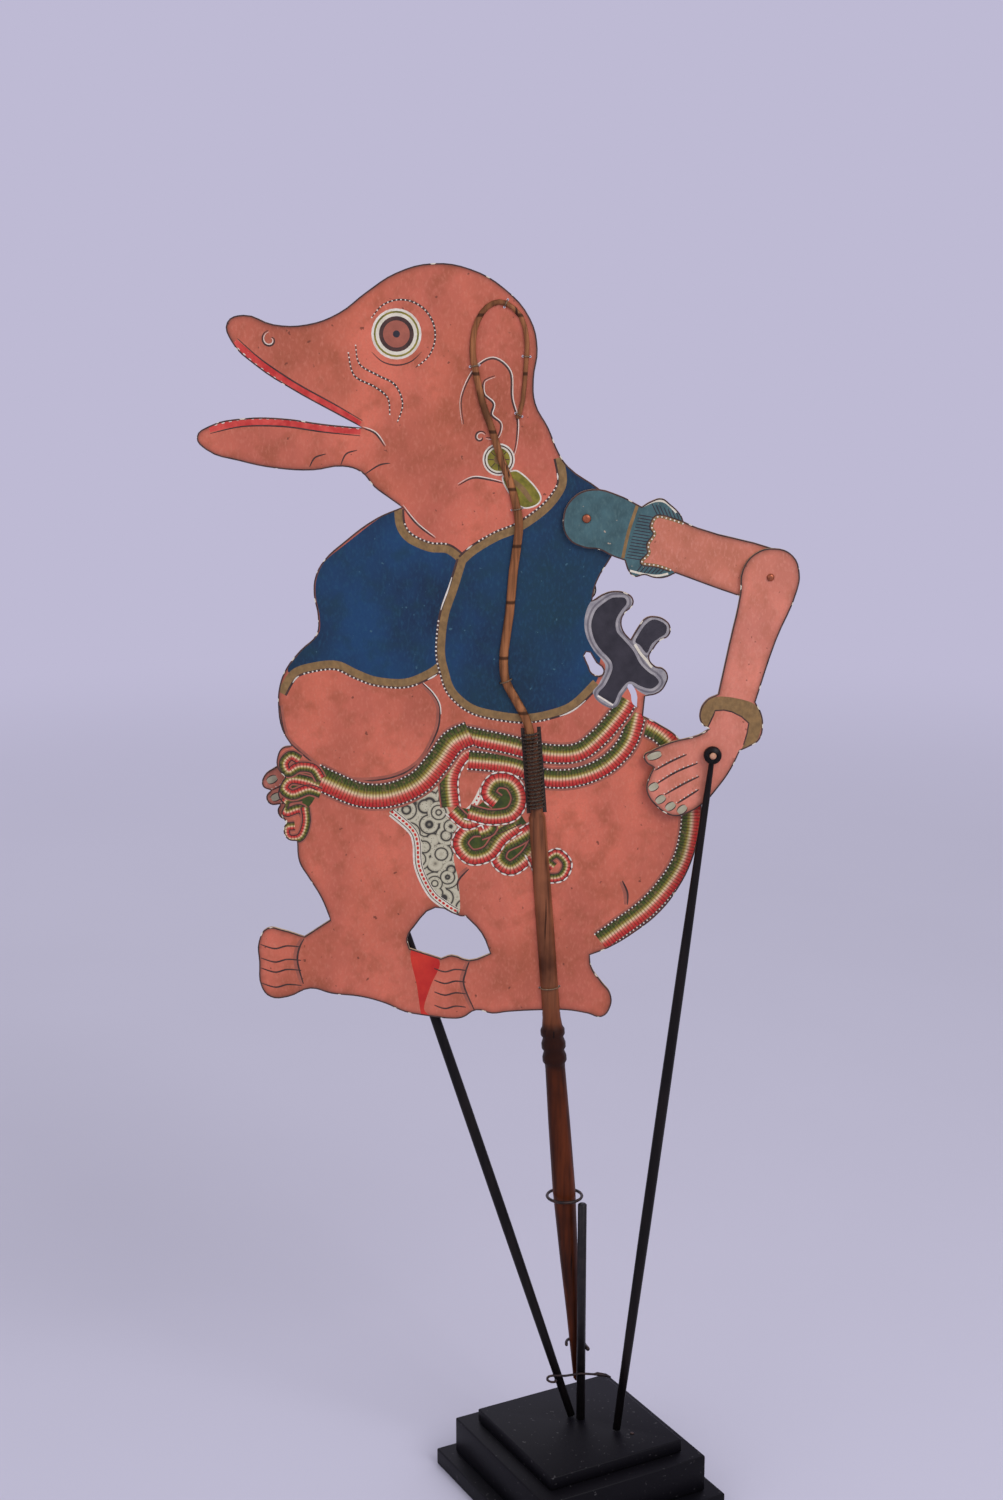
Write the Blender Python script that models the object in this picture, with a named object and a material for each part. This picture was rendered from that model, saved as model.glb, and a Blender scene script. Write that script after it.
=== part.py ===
"""A flat hide rod puppet on a small display stand, built piece by piece in metres, Z up.

The figure stands in the XZ plane and is seen from -Y. The origin is the middle of the stand's underside.
Pattern points are in millimetres at the figure's own size: x from the stand's middle, z up from the sole.
"""

import math

import bmesh
import bpy
from mathutils import Matrix, Vector

for old in list(bpy.data.objects):
    bpy.data.objects.remove(old)

MM = 0.001

# Driving dimensions
FIGURE_HEIGHT = 423 * MM  # sole to crown of the hide figure
PATTERN_HEIGHT = 423  # the same height in pattern units
HIDE_THICKNESS = 1.8 * MM
HIDE_SETBACK = 16 * MM  # the figure's plane behind the middle of the stand
CLEARANCE = 0.3 * MM  # between pieces that move or are laid on each other
GLUE_GAP = 0.1 * MM  # between pieces that are glued or soldered

PLINTH_SIDE = 125 * MM
PLINTH_HEIGHT = 10 * MM
BLOCK_SIDE = 108 * MM
BLOCK_HEIGHT = 22 * MM
PLATE_SIDE = 88 * MM
PLATE_HEIGHT = 8 * MM
BASE_TURN = math.radians(28.5)
BASE_EDGE = 0.9 * MM
SOLE_ABOVE_BASE = 246 * MM

GRIP_RADIUS = 6.7 * MM  # the belly of the turned grip
GRIP_TIP_RADIUS = 2.6 * MM
BEAD_RADIUS = 7.0 * MM
JAW_RADIUS = 5.2 * MM  # the split upper end that holds the hide
JAW_SEAT_RADIUS = 3.6 * MM  # where the lashing lies
CANE_WIDTH = 5.0 * MM
CANE_TIP_WIDTH = 2.4 * MM
CANE_DEPTH_SHARE = 0.48  # how thick a split cane is against its width

LASHING_THREAD = 1.3 * MM
LASHING_LOOPS = 21
LASHING_PITCH = 2.1 * MM
LOOP_POINTS = 16
TIE_THREAD = 0.7 * MM

PEG_RADIUS = 1.4 * MM
SHOULDER_HEAD = 2.5 * MM
ELBOW_HEAD = 2.1 * MM
HAND_HEAD = 2.0 * MM
HEAD_DEPTH = 1.0 * MM
FAR_ARM_STANDOFF = 5.3 * MM  # the far arm hangs clear of the back cane and the lashing
SPACER_RADIUS = 3.4 * MM

ROD_RADIUS = 3.1 * MM
ROD_NECK_RADIUS = 1.9 * MM
ROD_FOOT_RADIUS = 2.3 * MM
ROD_EYE_RADIUS = 5.0 * MM
ROD_EYE_DEPTH = 4.6 * MM
ROD_FOOT_GAP = 1.2 * MM
FAR_ROD_BOW = 3.0 * MM

POST_RADIUS = 2.6 * MM
POST_HEIGHT = 136 * MM  # above the top board
WIRE_RADIUS = 0.9 * MM
RING_RADIUS = 10.2 * MM
FORK_RADIUS = 5.2 * MM
FORK_HEIGHT = 44 * MM  # above the top board
CLIP_HEIGHT = 29 * MM
CLIP_LOOP_RADIUS = 2.6 * MM
BRAD_RADIUS = 1.3 * MM

# Sizes that follow
UNIT = FIGURE_HEIGHT / PATTERN_HEIGHT
BASE_TOP = PLINTH_HEIGHT + BLOCK_HEIGHT + PLATE_HEIGHT + 2 * GLUE_GAP
SOLE_Z = BASE_TOP + SOLE_ABOVE_BASE
HALF_HIDE = HIDE_THICKNESS / 2
LAYER = HIDE_THICKNESS + CLEARANCE
NEAR_UPPER_Y = -LAYER  # layers are measured from the figure's plane, minus towards the viewer
NEAR_FOREARM_Y = -2 * LAYER
NEAR_EYE_Y = NEAR_FOREARM_Y - HALF_HIDE - CLEARANCE - ROD_EYE_DEPTH / 2
FAR_UPPER_Y = HIDE_THICKNESS + FAR_ARM_STANDOFF
FAR_FOREARM_Y = FAR_UPPER_Y + LAYER
FAR_EYE_Y = FAR_FOREARM_Y + HALF_HIDE + CLEARANCE + ROD_EYE_DEPTH / 2
CANE_SEAT = HALF_HIDE + CLEARANCE
PEG_HOLE = PEG_RADIUS + CLEARANCE


def turned_about(point, pivot, angle):
    c, s = math.cos(angle), math.sin(angle)
    dx, dz = point[0] - pivot[0], point[1] - pivot[1]
    return (pivot[0] + c * dx - s * dz, pivot[1] + s * dx + c * dz) + tuple(point[2:])


# Pivots on the pattern
SHOULDER = (1, 287)
NEAR_ELBOW = (102, 255)
NEAR_HAND = (72, 156)
FAR_ARM_TURN = math.radians(-97.1)  # the far upper arm is the near one turned down and back
FAR_FOREARM_TURN = math.radians(-153.9)
FAR_FOREARM_LENGTH = 100
FAR_ELBOW = turned_about(NEAR_ELBOW, SHOULDER, FAR_ARM_TURN)
FAR_HAND = turned_about((FAR_ELBOW[0] + FAR_FOREARM_LENGTH, FAR_ELBOW[1]), FAR_ELBOW, FAR_FOREARM_TURN)


def place(x, z, layer=0.0):
    """A pattern point in the world, in a layer behind or in front of the figure's plane."""
    return Vector((x * UNIT, HIDE_SETBACK + layer, SOLE_Z + z * UNIT))


def to_pattern(spot):
    return (spot.x / UNIT, (spot.z - SOLE_Z) / UNIT)


def material(name, colour, roughness, metallic=0.0):
    made = bpy.data.materials.new(name)
    made.use_nodes = True
    shader = made.node_tree.nodes["Principled BSDF"]
    shader.inputs["Base Color"].default_value = (*colour, 1)
    shader.inputs["Roughness"].default_value = roughness
    shader.inputs["Metallic"].default_value = metallic
    return made


HIDE = material("painted hide", (0.57, 0.15, 0.11), 0.55)
SLEEVE = material("painted sleeve hide", (0.05, 0.19, 0.21), 0.6)
SKIN = material("painted arm hide", (0.6, 0.19, 0.14), 0.55)
WOOD = material("turned brown wood", (0.14, 0.045, 0.012), 0.4)
CANE = material("split cane", (0.23, 0.09, 0.035), 0.5)
THREAD = material("dark thread", (0.03, 0.022, 0.016), 0.85)
PALE_THREAD = material("worn thread", (0.16, 0.11, 0.08), 0.85)
COPPER = material("copper peg", (0.45, 0.16, 0.08), 0.4, 1.0)
BONE = material("pale peg", (0.55, 0.4, 0.3), 0.5)
ROD_BLACK = material("black rod", (0.012, 0.009, 0.009), 0.4)
IRON = material("dark wire", (0.02, 0.016, 0.015), 0.45, 0.9)
BLACK_PAINT = material("black painted wood", (0.01, 0.009, 0.01), 0.6)


def add_object(name, data, look, hidden=False):
    made = bpy.data.objects.new(name, data)
    bpy.context.scene.collection.objects.link(made)
    if look:
        data.materials.append(look)
    if hidden:
        made.hide_render = True
        made.display_type = "WIRE"
    return made


def mesh_object(name, bm, look, hidden=False):
    bmesh.ops.recalc_face_normals(bm, faces=bm.faces)
    data = bpy.data.meshes.new(name)
    bm.to_mesh(data)
    bm.free()
    return add_object(name, data, look, hidden)


def boolean(target, tool, operation="DIFFERENCE"):
    modifier = target.modifiers.new(f"{operation.lower()} {tool.name}", "BOOLEAN")
    modifier.operation = operation
    modifier.solver = "EXACT"
    modifier.object = tool


def lathe(name, profile, matrix, look, segments=16, hidden=False):
    """Turns (height, radius) pairs about Z, closed at both ends, then moves the result."""
    bm = bmesh.new()
    rings = []
    for height, radius in profile:
        ring = []
        for k in range(segments):
            angle = math.tau * k / segments
            ring.append(bm.verts.new((radius * math.cos(angle), radius * math.sin(angle), height)))
        rings.append(ring)
    for low, high in zip(rings, rings[1:]):
        for k in range(segments):
            n = (k + 1) % segments
            bm.faces.new((low[k], low[n], high[n], high[k]))
    bm.faces.new(rings[0])
    bm.faces.new(rings[-1])
    bmesh.ops.transform(bm, matrix=matrix, verts=bm.verts)
    return mesh_object(name, bm, look, hidden)


def sweep(name, points, radii, look, segments=12):
    """A solid rod through the points, with a radius at each."""
    bm = bmesh.new()
    rings = []
    for k, (spot, radius) in enumerate(zip(points, radii)):
        way = (points[min(k + 1, len(points) - 1)] - points[max(k - 1, 0)]).normalized()
        side = way.cross(Vector((0, 1, 0))).normalized()
        up = side.cross(way)
        ring = []
        for j in range(segments):
            angle = math.tau * j / segments
            ring.append(bm.verts.new(spot + (side * math.cos(angle) + up * math.sin(angle)) * radius))
        rings.append(ring)
    for low, high in zip(rings, rings[1:]):
        for j in range(segments):
            n = (j + 1) % segments
            bm.faces.new((low[j], low[n], high[n], high[j]))
    bm.faces.new(rings[0])
    bm.faces.new(rings[-1])
    return mesh_object(name, bm, look)


def tube(name, points, radius, look, closed=False, sizes=None):
    """A round wire or thread through the points."""
    data = bpy.data.curves.new(name, "CURVE")
    data.dimensions = "3D"
    data.bevel_depth = radius
    data.bevel_resolution = 1
    data.use_fill_caps = True
    spline = data.splines.new("POLY")
    spline.points.add(len(points) - 1)
    spline.use_cyclic_u = closed
    for k, (point, spot) in enumerate(zip(spline.points, points)):
        point.co = (*spot, 1)
        point.radius = sizes[k] if sizes else 1
    return add_object(name, data, look)


def hide(name, outline, holes, layer, look, steps=4):
    """A sheet cut to the outline, with holes. A third value in a point marks a corner."""
    data = bpy.data.curves.new(name, "CURVE")
    data.dimensions = "2D"
    data.fill_mode = "BOTH"
    data.extrude = HALF_HIDE
    for number, loop in enumerate([outline, *holes]):
        spline = data.splines.new("BEZIER")
        spline.bezier_points.add(len(loop) - 1)
        spline.use_cyclic_u = True
        spline.resolution_u = steps if number == 0 else 3
        for point, spot in zip(spline.bezier_points, loop):
            point.co = (spot[0] * UNIT, spot[1] * UNIT, 0)
            point.handle_left_type = point.handle_right_type = "VECTOR" if len(spot) == 3 else "AUTO"
    made = add_object(name, data, look)
    made.matrix_world = Matrix.Translation(place(0, 0, layer)) @ Matrix.Rotation(math.pi / 2, 4, "X")
    return made


def circle(centre, radius):
    """A round hole as four smooth points. The radius is a real size."""
    r = radius / UNIT
    x, z = centre
    return [(x + r, z), (x, z + r), (x - r, z), (x, z - r)]


# The outline of the figure's hide
C = 1  # marks a corner
HEAD_OUTLINE = [
    (-14, 322), (-20, 336), (-27, 349), (-28, 362), (-26, 378), (-30, 394), (-44, 410), (-62, 420), (-82, 423),
    (-102, 418), (-118, 408), (-133, 397), (-150, 391), (-168, 391), (-184, 396), (-193, 392), (-191, 382),
    (-178, 369), (-158, 356), (-138, 345), (-121, 336, C), (-142, 338), (-164, 341), (-186, 341), (-204, 337),
    (-211, 331), (-206, 324), (-188, 318), (-168, 314), (-148, 313), (-132, 315), (-122, 312), (-115, 304),
    (-107, 298), (-100, 293, C),
]
FRONT_OUTLINE = [
    (-114, 287), (-132, 274), (-143, 264), (-148, 255), (-149, 245), (-147, 233), (-148, 223), (-157, 214),
    (-165, 204), (-169, 194), (-170, 183), (-168, 169), (-163, 160, C),
]
KNOT_OUTLINE = [
    (-168, 159), (-171, 154), (-171, 147), (-167, 142, C), (-170, 137), (-171, 131), (-167.5, 126, C), (-169.5, 121),
    (-167, 116, C), (-168.5, 111), (-166, 106), (-161, 105, C),
]
LEFT_LEG_OUTLINE = [
    (-160, 93), (-155, 84), (-148, 72), (-143, 59, C), (-158, 49, C), (-170, 53), (-179, 54), (-184, 46), (-184, 34),
    (-183, 19), (-178, 13), (-168, 13), (-155, 18), (-143, 15), (-126, 13), (-112, 9), (-101, 4), (-91, 2), (-84, 1),
]
RIGHT_LEG_OUTLINE = [
    (-76, 0), (-68, 0.5), (-60, 5), (-51, 3), (-42, 4), (-23, 5), (-8, 5), (4, 3), (12, 1), (17, 7), (17, 15),
    (12, 22), (6, 31), (5, 38, C),
]
TAIL_OUTLINE = [
    (15, 42), (31, 52), (45, 64), (55, 78), (62, 93), (66, 110), (67, 128), (63, 148), (53, 165), (43, 172),
    (33.5, 177, C),
]
HILT_OUTLINE = [
    (34.5, 188, C), (42, 190), (46, 195), (47, 200), (44, 204), (40, 205), (36.5, 210), (39, 215), (42, 219),
    (47, 222), (48, 227), (45, 231), (39, 233), (34, 232), (30, 227), (26, 220, C), (22, 225), (21, 231), (23, 235),
    (27, 239), (27, 243), (23, 246), (18, 247), (12, 246), (4.5, 241.5, C),
]
SHOULDER_OUTLINE = [(7, 252), (15, 266), (22, 280), (18, 294), (8, 303), (-9, 315)]
LEG_WINDOW = [
    (-83, 66), (-69, 61), (-66, 61, C), (-57, 51), (-52, 39, C), (-64, 35), (-74, 38), (-80, 36, C), (-98, 42, C),
    (-99, 48), (-95, 55),
]
HILT_GAP = [(1.5, 213), (3, 205), (5, 201), (10, 200), (11, 203), (7, 207)]
STRIP_GAP = [(25, 195), (29.5, 190.5), (30, 181.5, C), (27.5, 184), (26.5, 189)]

# The grip leans a little. Its axis runs from the tip up into the waist.
JAW_TOP_HEIGHT = 162
JAW_TOP_X = -28.6
KERF_HEIGHT = 3.5
GRIP_DROP = 226  # from the soles down to the grip's tip
BEAD_PITCH = 8
TIP = place(0, -GRIP_DROP)
JAW_TOP = place(JAW_TOP_X, JAW_TOP_HEIGHT)
AXIS = (JAW_TOP - TIP).normalized()
ACROSS = Vector((AXIS.z, 0, -AXIS.x))


def on_axis(z):
    """The point of the grip's axis at this pattern height."""
    return TIP + (JAW_TOP - TIP) * ((place(0, z).z - TIP.z) / (JAW_TOP.z - TIP.z))


LASHING_DROP = 38  # from the jaws' top down to the first turn
LASHING_LOW = JAW_TOP_HEIGHT - LASHING_DROP
LASHING_RADIUS = JAW_SEAT_RADIUS + 1.5 * CLEARANCE + LASHING_THREAD / 2
LASHING_HIGH = LASHING_LOW + LASHING_LOOPS * LASHING_PITCH / UNIT
SEAT_HEIGHT = LASHING_LOW - 2
SLIT_WIDTH = LASHING_THREAD + 3 * CLEARANCE
SLIT_SPARE = 2.5

profile = [
    (-GRIP_DROP, GRIP_TIP_RADIUS * 0.7), (1.5 - GRIP_DROP, GRIP_TIP_RADIUS), (44 - GRIP_DROP, GRIP_RADIUS * 0.58), (78 - GRIP_DROP, GRIP_RADIUS * 0.8),
    (-105, GRIP_RADIUS), (-63, GRIP_RADIUS * 0.95), (-30, GRIP_RADIUS * 0.86),
]
for bead in (-3 * BEAD_PITCH, -2 * BEAD_PITCH, -BEAD_PITCH):
    profile += [(bead - 3.2, BEAD_RADIUS * 0.84), (bead - 1.5, BEAD_RADIUS), (bead + 1.5, BEAD_RADIUS)]
profile += [
    (-4.5, BEAD_RADIUS * 0.84), (1, JAW_RADIUS), (60, JAW_RADIUS), (SEAT_HEIGHT - 3, JAW_RADIUS * 0.94),
    (SEAT_HEIGHT, JAW_SEAT_RADIUS), (JAW_TOP_HEIGHT - 1.5, JAW_SEAT_RADIUS), (JAW_TOP_HEIGHT, JAW_SEAT_RADIUS * 0.8),
]
along = Matrix.Translation(TIP) @ AXIS.to_track_quat("Z", "Y").to_matrix().to_4x4()
grip = lathe("grip", [((on_axis(z) - TIP).length, r) for z, r in profile], along, WOOD, 20)
bm = bmesh.new()
bmesh.ops.create_cube(bm, size=1)
kerf_high = place(0, JAW_TOP_HEIGHT + 10)
kerf_low = place(0, KERF_HEIGHT)
kerf_size = (0.2, 2 * CANE_SEAT, kerf_high.z - kerf_low.z, 1)
bmesh.ops.transform(bm, matrix=Matrix.Translation((kerf_high + kerf_low) / 2) @ Matrix.Diagonal(kerf_size), verts=bm.verts)
boolean(grip, mesh_object("kerf_cutter", bm, None, hidden=True))


def slit(side):
    """A slot in the hide beside the jaws, for every turn of the lashing."""
    low, high = on_axis(LASHING_LOW - SLIT_SPARE), on_axis(LASHING_HIGH + SLIT_SPARE)
    middle = LASHING_RADIUS - CLEARANCE / 2
    inner, outer = ACROSS * side * (middle - SLIT_WIDTH / 2), ACROSS * side * (middle + SLIT_WIDTH / 2)
    return [(*to_pattern(spot), C) for spot in (low + inner, low + outer, high + outer, high + inner)]


# The lashing: one unbroken thread wound round both jaws and the ends of the canes
turn_step = math.tau / LOOP_POINTS
start = on_axis(LASHING_LOW)
winding = []
for k in range(LASHING_LOOPS * LOOP_POINTS + 1):
    angle = k * turn_step + math.pi / 2
    rise = AXIS * (k / LOOP_POINTS * LASHING_PITCH)
    winding.append(start + rise + (ACROSS * math.cos(angle) + Vector((0, math.sin(angle), 0))) * LASHING_RADIUS)
tube("waist_lashing", winding, LASHING_THREAD / 2, THREAD)
lashing_gap = min(
    (winding[i] - winding[j]).length
    for i in range(0, 2 * LOOP_POINTS)
    for j in range(i + LOOP_POINTS // 2, min(i + 2 * LOOP_POINTS, len(winding)))
)
print(f"least gap between turns of the lashing: {(lashing_gap - LASHING_THREAD) / MM:.2f} mm")

# The split canes, one on each face, with their ties
CANE_PATH = [
    (-37, 341), (-34, 350), (-32, 374), (-32, 384), (-35, 395), (-43, 402), (-50, 402), (-56, 397), (-60, 388),
    (-61, 377), (-60, 369), (-56, 350), (-51, 336), (-46, 320), (-41, 307), (-37, 292), (-36, 280), (-39, 258),
    (-41, 235), (-44, 214), (-44, 201), (-42, 194),
]
# From its lowest bend the cane leans in to the top of the jaws and stops just clear of it
CANE_FOOT_GAP = 1.2
cane_foot = JAW_TOP_HEIGHT + CANE_FOOT_GAP
cane_bend = CANE_PATH[-1][1]
for aside, share in ((-8.4, 0.71), (-3.6, 0.416), (-1.4, 0.188), (-0.6, 0.0)):
    CANE_PATH.append((JAW_TOP_X + aside, cane_foot + (cane_bend - cane_foot) * share))
CANE_WIDE_FROM = 17  # the path point from which the cane has its full width
TIES = {"tie_end": 0.35, "tie_nape": 2.0, "tie_crown": 5.0, "tie_ear": 10.0, "tie_neck": 15.0, "tie_hem": 20.6}


def spline_point(at):
    """A point and a direction on the smooth line of the cane, at a whole or part index."""
    i = min(int(at), len(CANE_PATH) - 2)
    t = at - i
    p = [Vector((CANE_PATH[max(0, min(len(CANE_PATH) - 1, k))])) for k in (i - 1, i, i + 1, i + 2)]
    m1, m2 = (p[2] - p[0]) / 2, (p[3] - p[1]) / 2
    h = (2 * t**3 - 3 * t**2 + 1, t**3 - 2 * t**2 + t, 3 * t**2 - 2 * t**3, t**3 - t**2)
    d = (6 * t**2 - 6 * t, 3 * t**2 - 4 * t + 1, 6 * t - 6 * t**2, 3 * t**2 - 2 * t)
    spot = h[0] * p[1] + h[1] * m1 + h[2] * p[2] + h[3] * m2
    way = (d[0] * p[1] + d[1] * m1 + d[2] * p[2] + d[3] * m2).normalized()
    return spot, Vector((way.y, 0, -way.x))


def cane_width(at):
    return CANE_TIP_WIDTH + (CANE_WIDTH - CANE_TIP_WIDTH) * min(1.0, at / CANE_WIDE_FROM) ** 1.5


def cane(name, side):
    """A half-round strip laid flat on the hide. side is -1 for the front and 1 for the back."""
    bm = bmesh.new()
    rings = []
    for k in range(2 * len(CANE_PATH) - 1):
        spot, across = spline_point(k / 2)
        half = cane_width(k / 2) / 2
        middle = place(spot.x, spot.y, side * CANE_SEAT)
        ring = []
        for j in range(7):
            angle = math.pi * j / 6
            rise = math.sin(angle) * 2 * half * CANE_DEPTH_SHARE
            ring.append(bm.verts.new(middle + across * half * math.cos(angle) + Vector((0, side * rise, 0))))
        rings.append(ring)
    for low, high in zip(rings, rings[1:]):
        for j in range(7):
            bm.faces.new((low[j], low[(j + 1) % 7], high[(j + 1) % 7], high[j]))
    bm.faces.new(rings[0])
    bm.faces.new(rings[-1])
    return mesh_object(name, bm, CANE)


cane("front_cane", -1)
cane("back_cane", 1)


def tie(name, middle, across, half_width, low, high):
    """An oval thread loop round a half-round pair, and the two holes that it needs in the hide."""
    reach = CLEARANCE + TIE_THREAD / 2
    depth = high + reach
    half = (half_width + reach) / math.sqrt(1 - (low / depth) ** 2)
    loop = []
    for k in range(20):
        angle = math.tau * k / 20
        loop.append(middle + across * half * math.cos(angle) + Vector((0, depth * math.sin(angle), 0)))
    tube(name, loop, TIE_THREAD / 2, PALE_THREAD, closed=True)
    return [circle(to_pattern(middle + across * side * half * 0.98), reach) for side in (-1, 1)]


tie_holes = []
for tie_name, at in TIES.items():
    spot, across = spline_point(at)
    wide = cane_width(at)
    top = CANE_SEAT + wide * CANE_DEPTH_SHARE
    tie_holes += tie(tie_name, place(spot.x, spot.y), across, wide / 2, CANE_SEAT, top)
tie_holes += tie("tie_foot", on_axis(19), ACROSS, JAW_RADIUS, 0, JAW_RADIUS)

body_outline = (
    HEAD_OUTLINE + FRONT_OUTLINE + KNOT_OUTLINE + LEFT_LEG_OUTLINE + RIGHT_LEG_OUTLINE + TAIL_OUTLINE + HILT_OUTLINE
    + SHOULDER_OUTLINE
)
body_holes = [LEG_WINDOW, HILT_GAP, STRIP_GAP, circle(SHOULDER, PEG_HOLE), slit(-1), slit(1), *tie_holes]
hide("body_hide", body_outline, body_holes, 0, HIDE)

# The arms
UPPER_ARM_OUTLINE = [
    (-12, 286), (-7, 298), (4, 303), (18, 300), (31, 293.5, C), (36, 296.5), (42, 298), (46.5, 295), (52.5, 289),
    (54, 285.5, C), (62, 282), (104, 270.5), (113, 266.5), (117.5, 258), (115, 248), (107, 241.5), (97, 241),
    (85, 244.5), (50, 257, C), (44, 254.5), (38, 254.5), (33, 256), (27.5, 255), (24.5, 257.5), (22, 264, C),
    (15, 266.5), (8, 270), (0, 271), (-9, 276),
]
FOREARM_OUTLINE = [
    (118, 257), (114, 267), (104, 271), (93, 268), (86.5, 259), (85.5, 246), (80, 218), (74.5, 190, C), (68, 186.5),
    (64.5, 179), (66, 173), (70, 170.5, C), (64, 167), (49, 163), (38, 158), (34, 155.5), (35, 151.5), (39.5, 148.5, C),
    (37, 143), (35.5, 137), (37, 131.5), (41, 126.5), (46, 122.5), (52, 120.5), (57, 121.5), (68, 128), (75, 136),
    (83, 148), (87.5, 158, C), (92, 160), (98, 164), (100, 172), (99, 179), (95.5, 185.5, C), (106, 220), (117, 248),
]
# The far forearm lies along x from its elbow: its hand is open and straight
FAR_FOREARM_OUTLINE = [
    (-15, 0), (-10.5, 10.5), (0, 15), (40, 13), (72, 11, C), (74, 16), (82, 17), (86, 12, C), (96, 14), (112, 16),
    (128, 16), (141, 15), (147, 11), (147, 6), (144, 3.5, C), (149, 1), (149, -4), (145, -6, C), (148, -10),
    (145, -15), (136, -17), (122, -18), (106, -16), (92, -12, C), (88, -17), (80, -17), (75, -12, C), (40, -14),
    (0, -15), (-10.5, -10.5),
]


def upper_arm(name, turn, layer):
    outline = [turned_about(spot, SHOULDER, turn) for spot in UPPER_ARM_OUTLINE]
    elbow = turned_about(NEAR_ELBOW, SHOULDER, turn)
    hide(name, outline, [circle(SHOULDER, PEG_HOLE), circle(elbow, PEG_HOLE)], layer, SLEEVE)


upper_arm("near_upper_arm", 0, NEAR_UPPER_Y)
upper_arm("far_upper_arm", FAR_ARM_TURN, FAR_UPPER_Y)
hide("near_forearm", FOREARM_OUTLINE, [circle(NEAR_ELBOW, PEG_HOLE), circle(NEAR_HAND, PEG_HOLE)], NEAR_FOREARM_Y, SKIN)
far_outline = []
for spot in FAR_FOREARM_OUTLINE:
    moved = (spot[0] + FAR_ELBOW[0], spot[1] + FAR_ELBOW[1], *spot[2:])
    far_outline.append(turned_about(moved, FAR_ELBOW, FAR_FOREARM_TURN))
hide("far_forearm", far_outline, [circle(FAR_ELBOW, PEG_HOLE), circle(FAR_HAND, PEG_HOLE)], FAR_FOREARM_Y, SKIN)


# Pegs: a shank with a domed head at each end, along Y
def peg(name, spot, front, back, head, look):
    """front and back are the outer faces of the stack that the peg holds, as layers."""
    low, high = front - CLEARANCE, back + CLEARANCE
    outline = [
        (low - HEAD_DEPTH, head * 0.45), (low - HEAD_DEPTH * 0.6, head * 0.85), (low, head), (low, PEG_RADIUS),
        (high, PEG_RADIUS), (high, head), (high + HEAD_DEPTH * 0.6, head * 0.85), (high + HEAD_DEPTH, head * 0.45),
    ]
    lathe(name, outline, Matrix.Translation(place(*spot)) @ Matrix.Rotation(-math.pi / 2, 4, "X"), look, 12)


peg("shoulder_peg", SHOULDER, NEAR_UPPER_Y - HALF_HIDE, FAR_UPPER_Y + HALF_HIDE, SHOULDER_HEAD, COPPER)
peg("near_elbow_peg", NEAR_ELBOW, NEAR_FOREARM_Y - HALF_HIDE, NEAR_UPPER_Y + HALF_HIDE, ELBOW_HEAD, COPPER)
peg("far_elbow_peg", FAR_ELBOW, FAR_UPPER_Y - HALF_HIDE, FAR_FOREARM_Y + HALF_HIDE, ELBOW_HEAD, COPPER)
peg("near_hand_peg", NEAR_HAND, NEAR_EYE_Y - ROD_EYE_DEPTH / 2, NEAR_FOREARM_Y + HALF_HIDE, HAND_HEAD, BONE)
peg("far_hand_peg", FAR_HAND, FAR_FOREARM_Y - HALF_HIDE, FAR_EYE_Y + ROD_EYE_DEPTH / 2, HAND_HEAD, BONE)
spacer_low, spacer_high = HALF_HIDE + CLEARANCE, FAR_UPPER_Y - HALF_HIDE - CLEARANCE
spacer_rings = [(spacer_low, SPACER_RADIUS), (spacer_high, SPACER_RADIUS)]
upright = Matrix.Translation(place(*SHOULDER)) @ Matrix.Rotation(-math.pi / 2, 4, "X")
spacer = lathe("shoulder_spacer", spacer_rings, upright, BONE, 16)
bore = [(spacer_low - 1 * MM, PEG_HOLE), (spacer_high + 1 * MM, PEG_HOLE)]
boolean(spacer, lathe("spacer_bore", bore, upright, None, 16, hidden=True))


# Hand rods: a flat eye on the hand's peg, a thin neck and a long tapered shaft
def hand_rod(name, hand, eye_layer, foot_x, foot_layer, bow):
    top = place(*hand, eye_layer)
    foot = Vector((foot_x * UNIT, HIDE_SETBACK + foot_layer, BASE_TOP + ROD_FOOT_GAP))
    stations = [0.0, 0.02, 0.06, 0.3, 0.5, 0.7, 0.85, 1.0]
    radii = [ROD_NECK_RADIUS * 0.7, ROD_NECK_RADIUS * 0.8, ROD_NECK_RADIUS, ROD_RADIUS * 0.92, ROD_RADIUS, ROD_RADIUS]
    radii += [ROD_RADIUS * 0.9, ROD_FOOT_RADIUS]
    spots = [top.lerp(foot, s) + Vector((0, 4 * bow * s * (1 - s), 0)) for s in stations]
    rod = sweep(name, spots, radii, ROD_BLACK)
    upright = Matrix.Translation(top) @ Matrix.Rotation(-math.pi / 2, 4, "X")
    half = ROD_EYE_DEPTH / 2
    rounded = [(-half, ROD_EYE_RADIUS * 0.9), (-half * 0.5, ROD_EYE_RADIUS), (half * 0.5, ROD_EYE_RADIUS)]
    rounded += [(half, ROD_EYE_RADIUS * 0.9)]
    boolean(rod, lathe(name + "_eye", rounded, upright, None, 20, hidden=True), "UNION")
    bore = [(-2 * half, PEG_HOLE), (2 * half, PEG_HOLE)]
    boolean(rod, lathe(name + "_bore", bore, upright, None, 12, hidden=True))


NEAR_FOOT_X, NEAR_FOOT_LAYER = 22, -24 * MM
FAR_FOOT_X, FAR_FOOT_LAYER = -4, -8.1 * MM
hand_rod("near_hand_rod", NEAR_HAND, NEAR_EYE_Y, NEAR_FOOT_X, NEAR_FOOT_LAYER, 0)
hand_rod("far_hand_rod", FAR_HAND, FAR_EYE_Y, FAR_FOOT_X, FAR_FOOT_LAYER, FAR_ROD_BOW)


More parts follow.
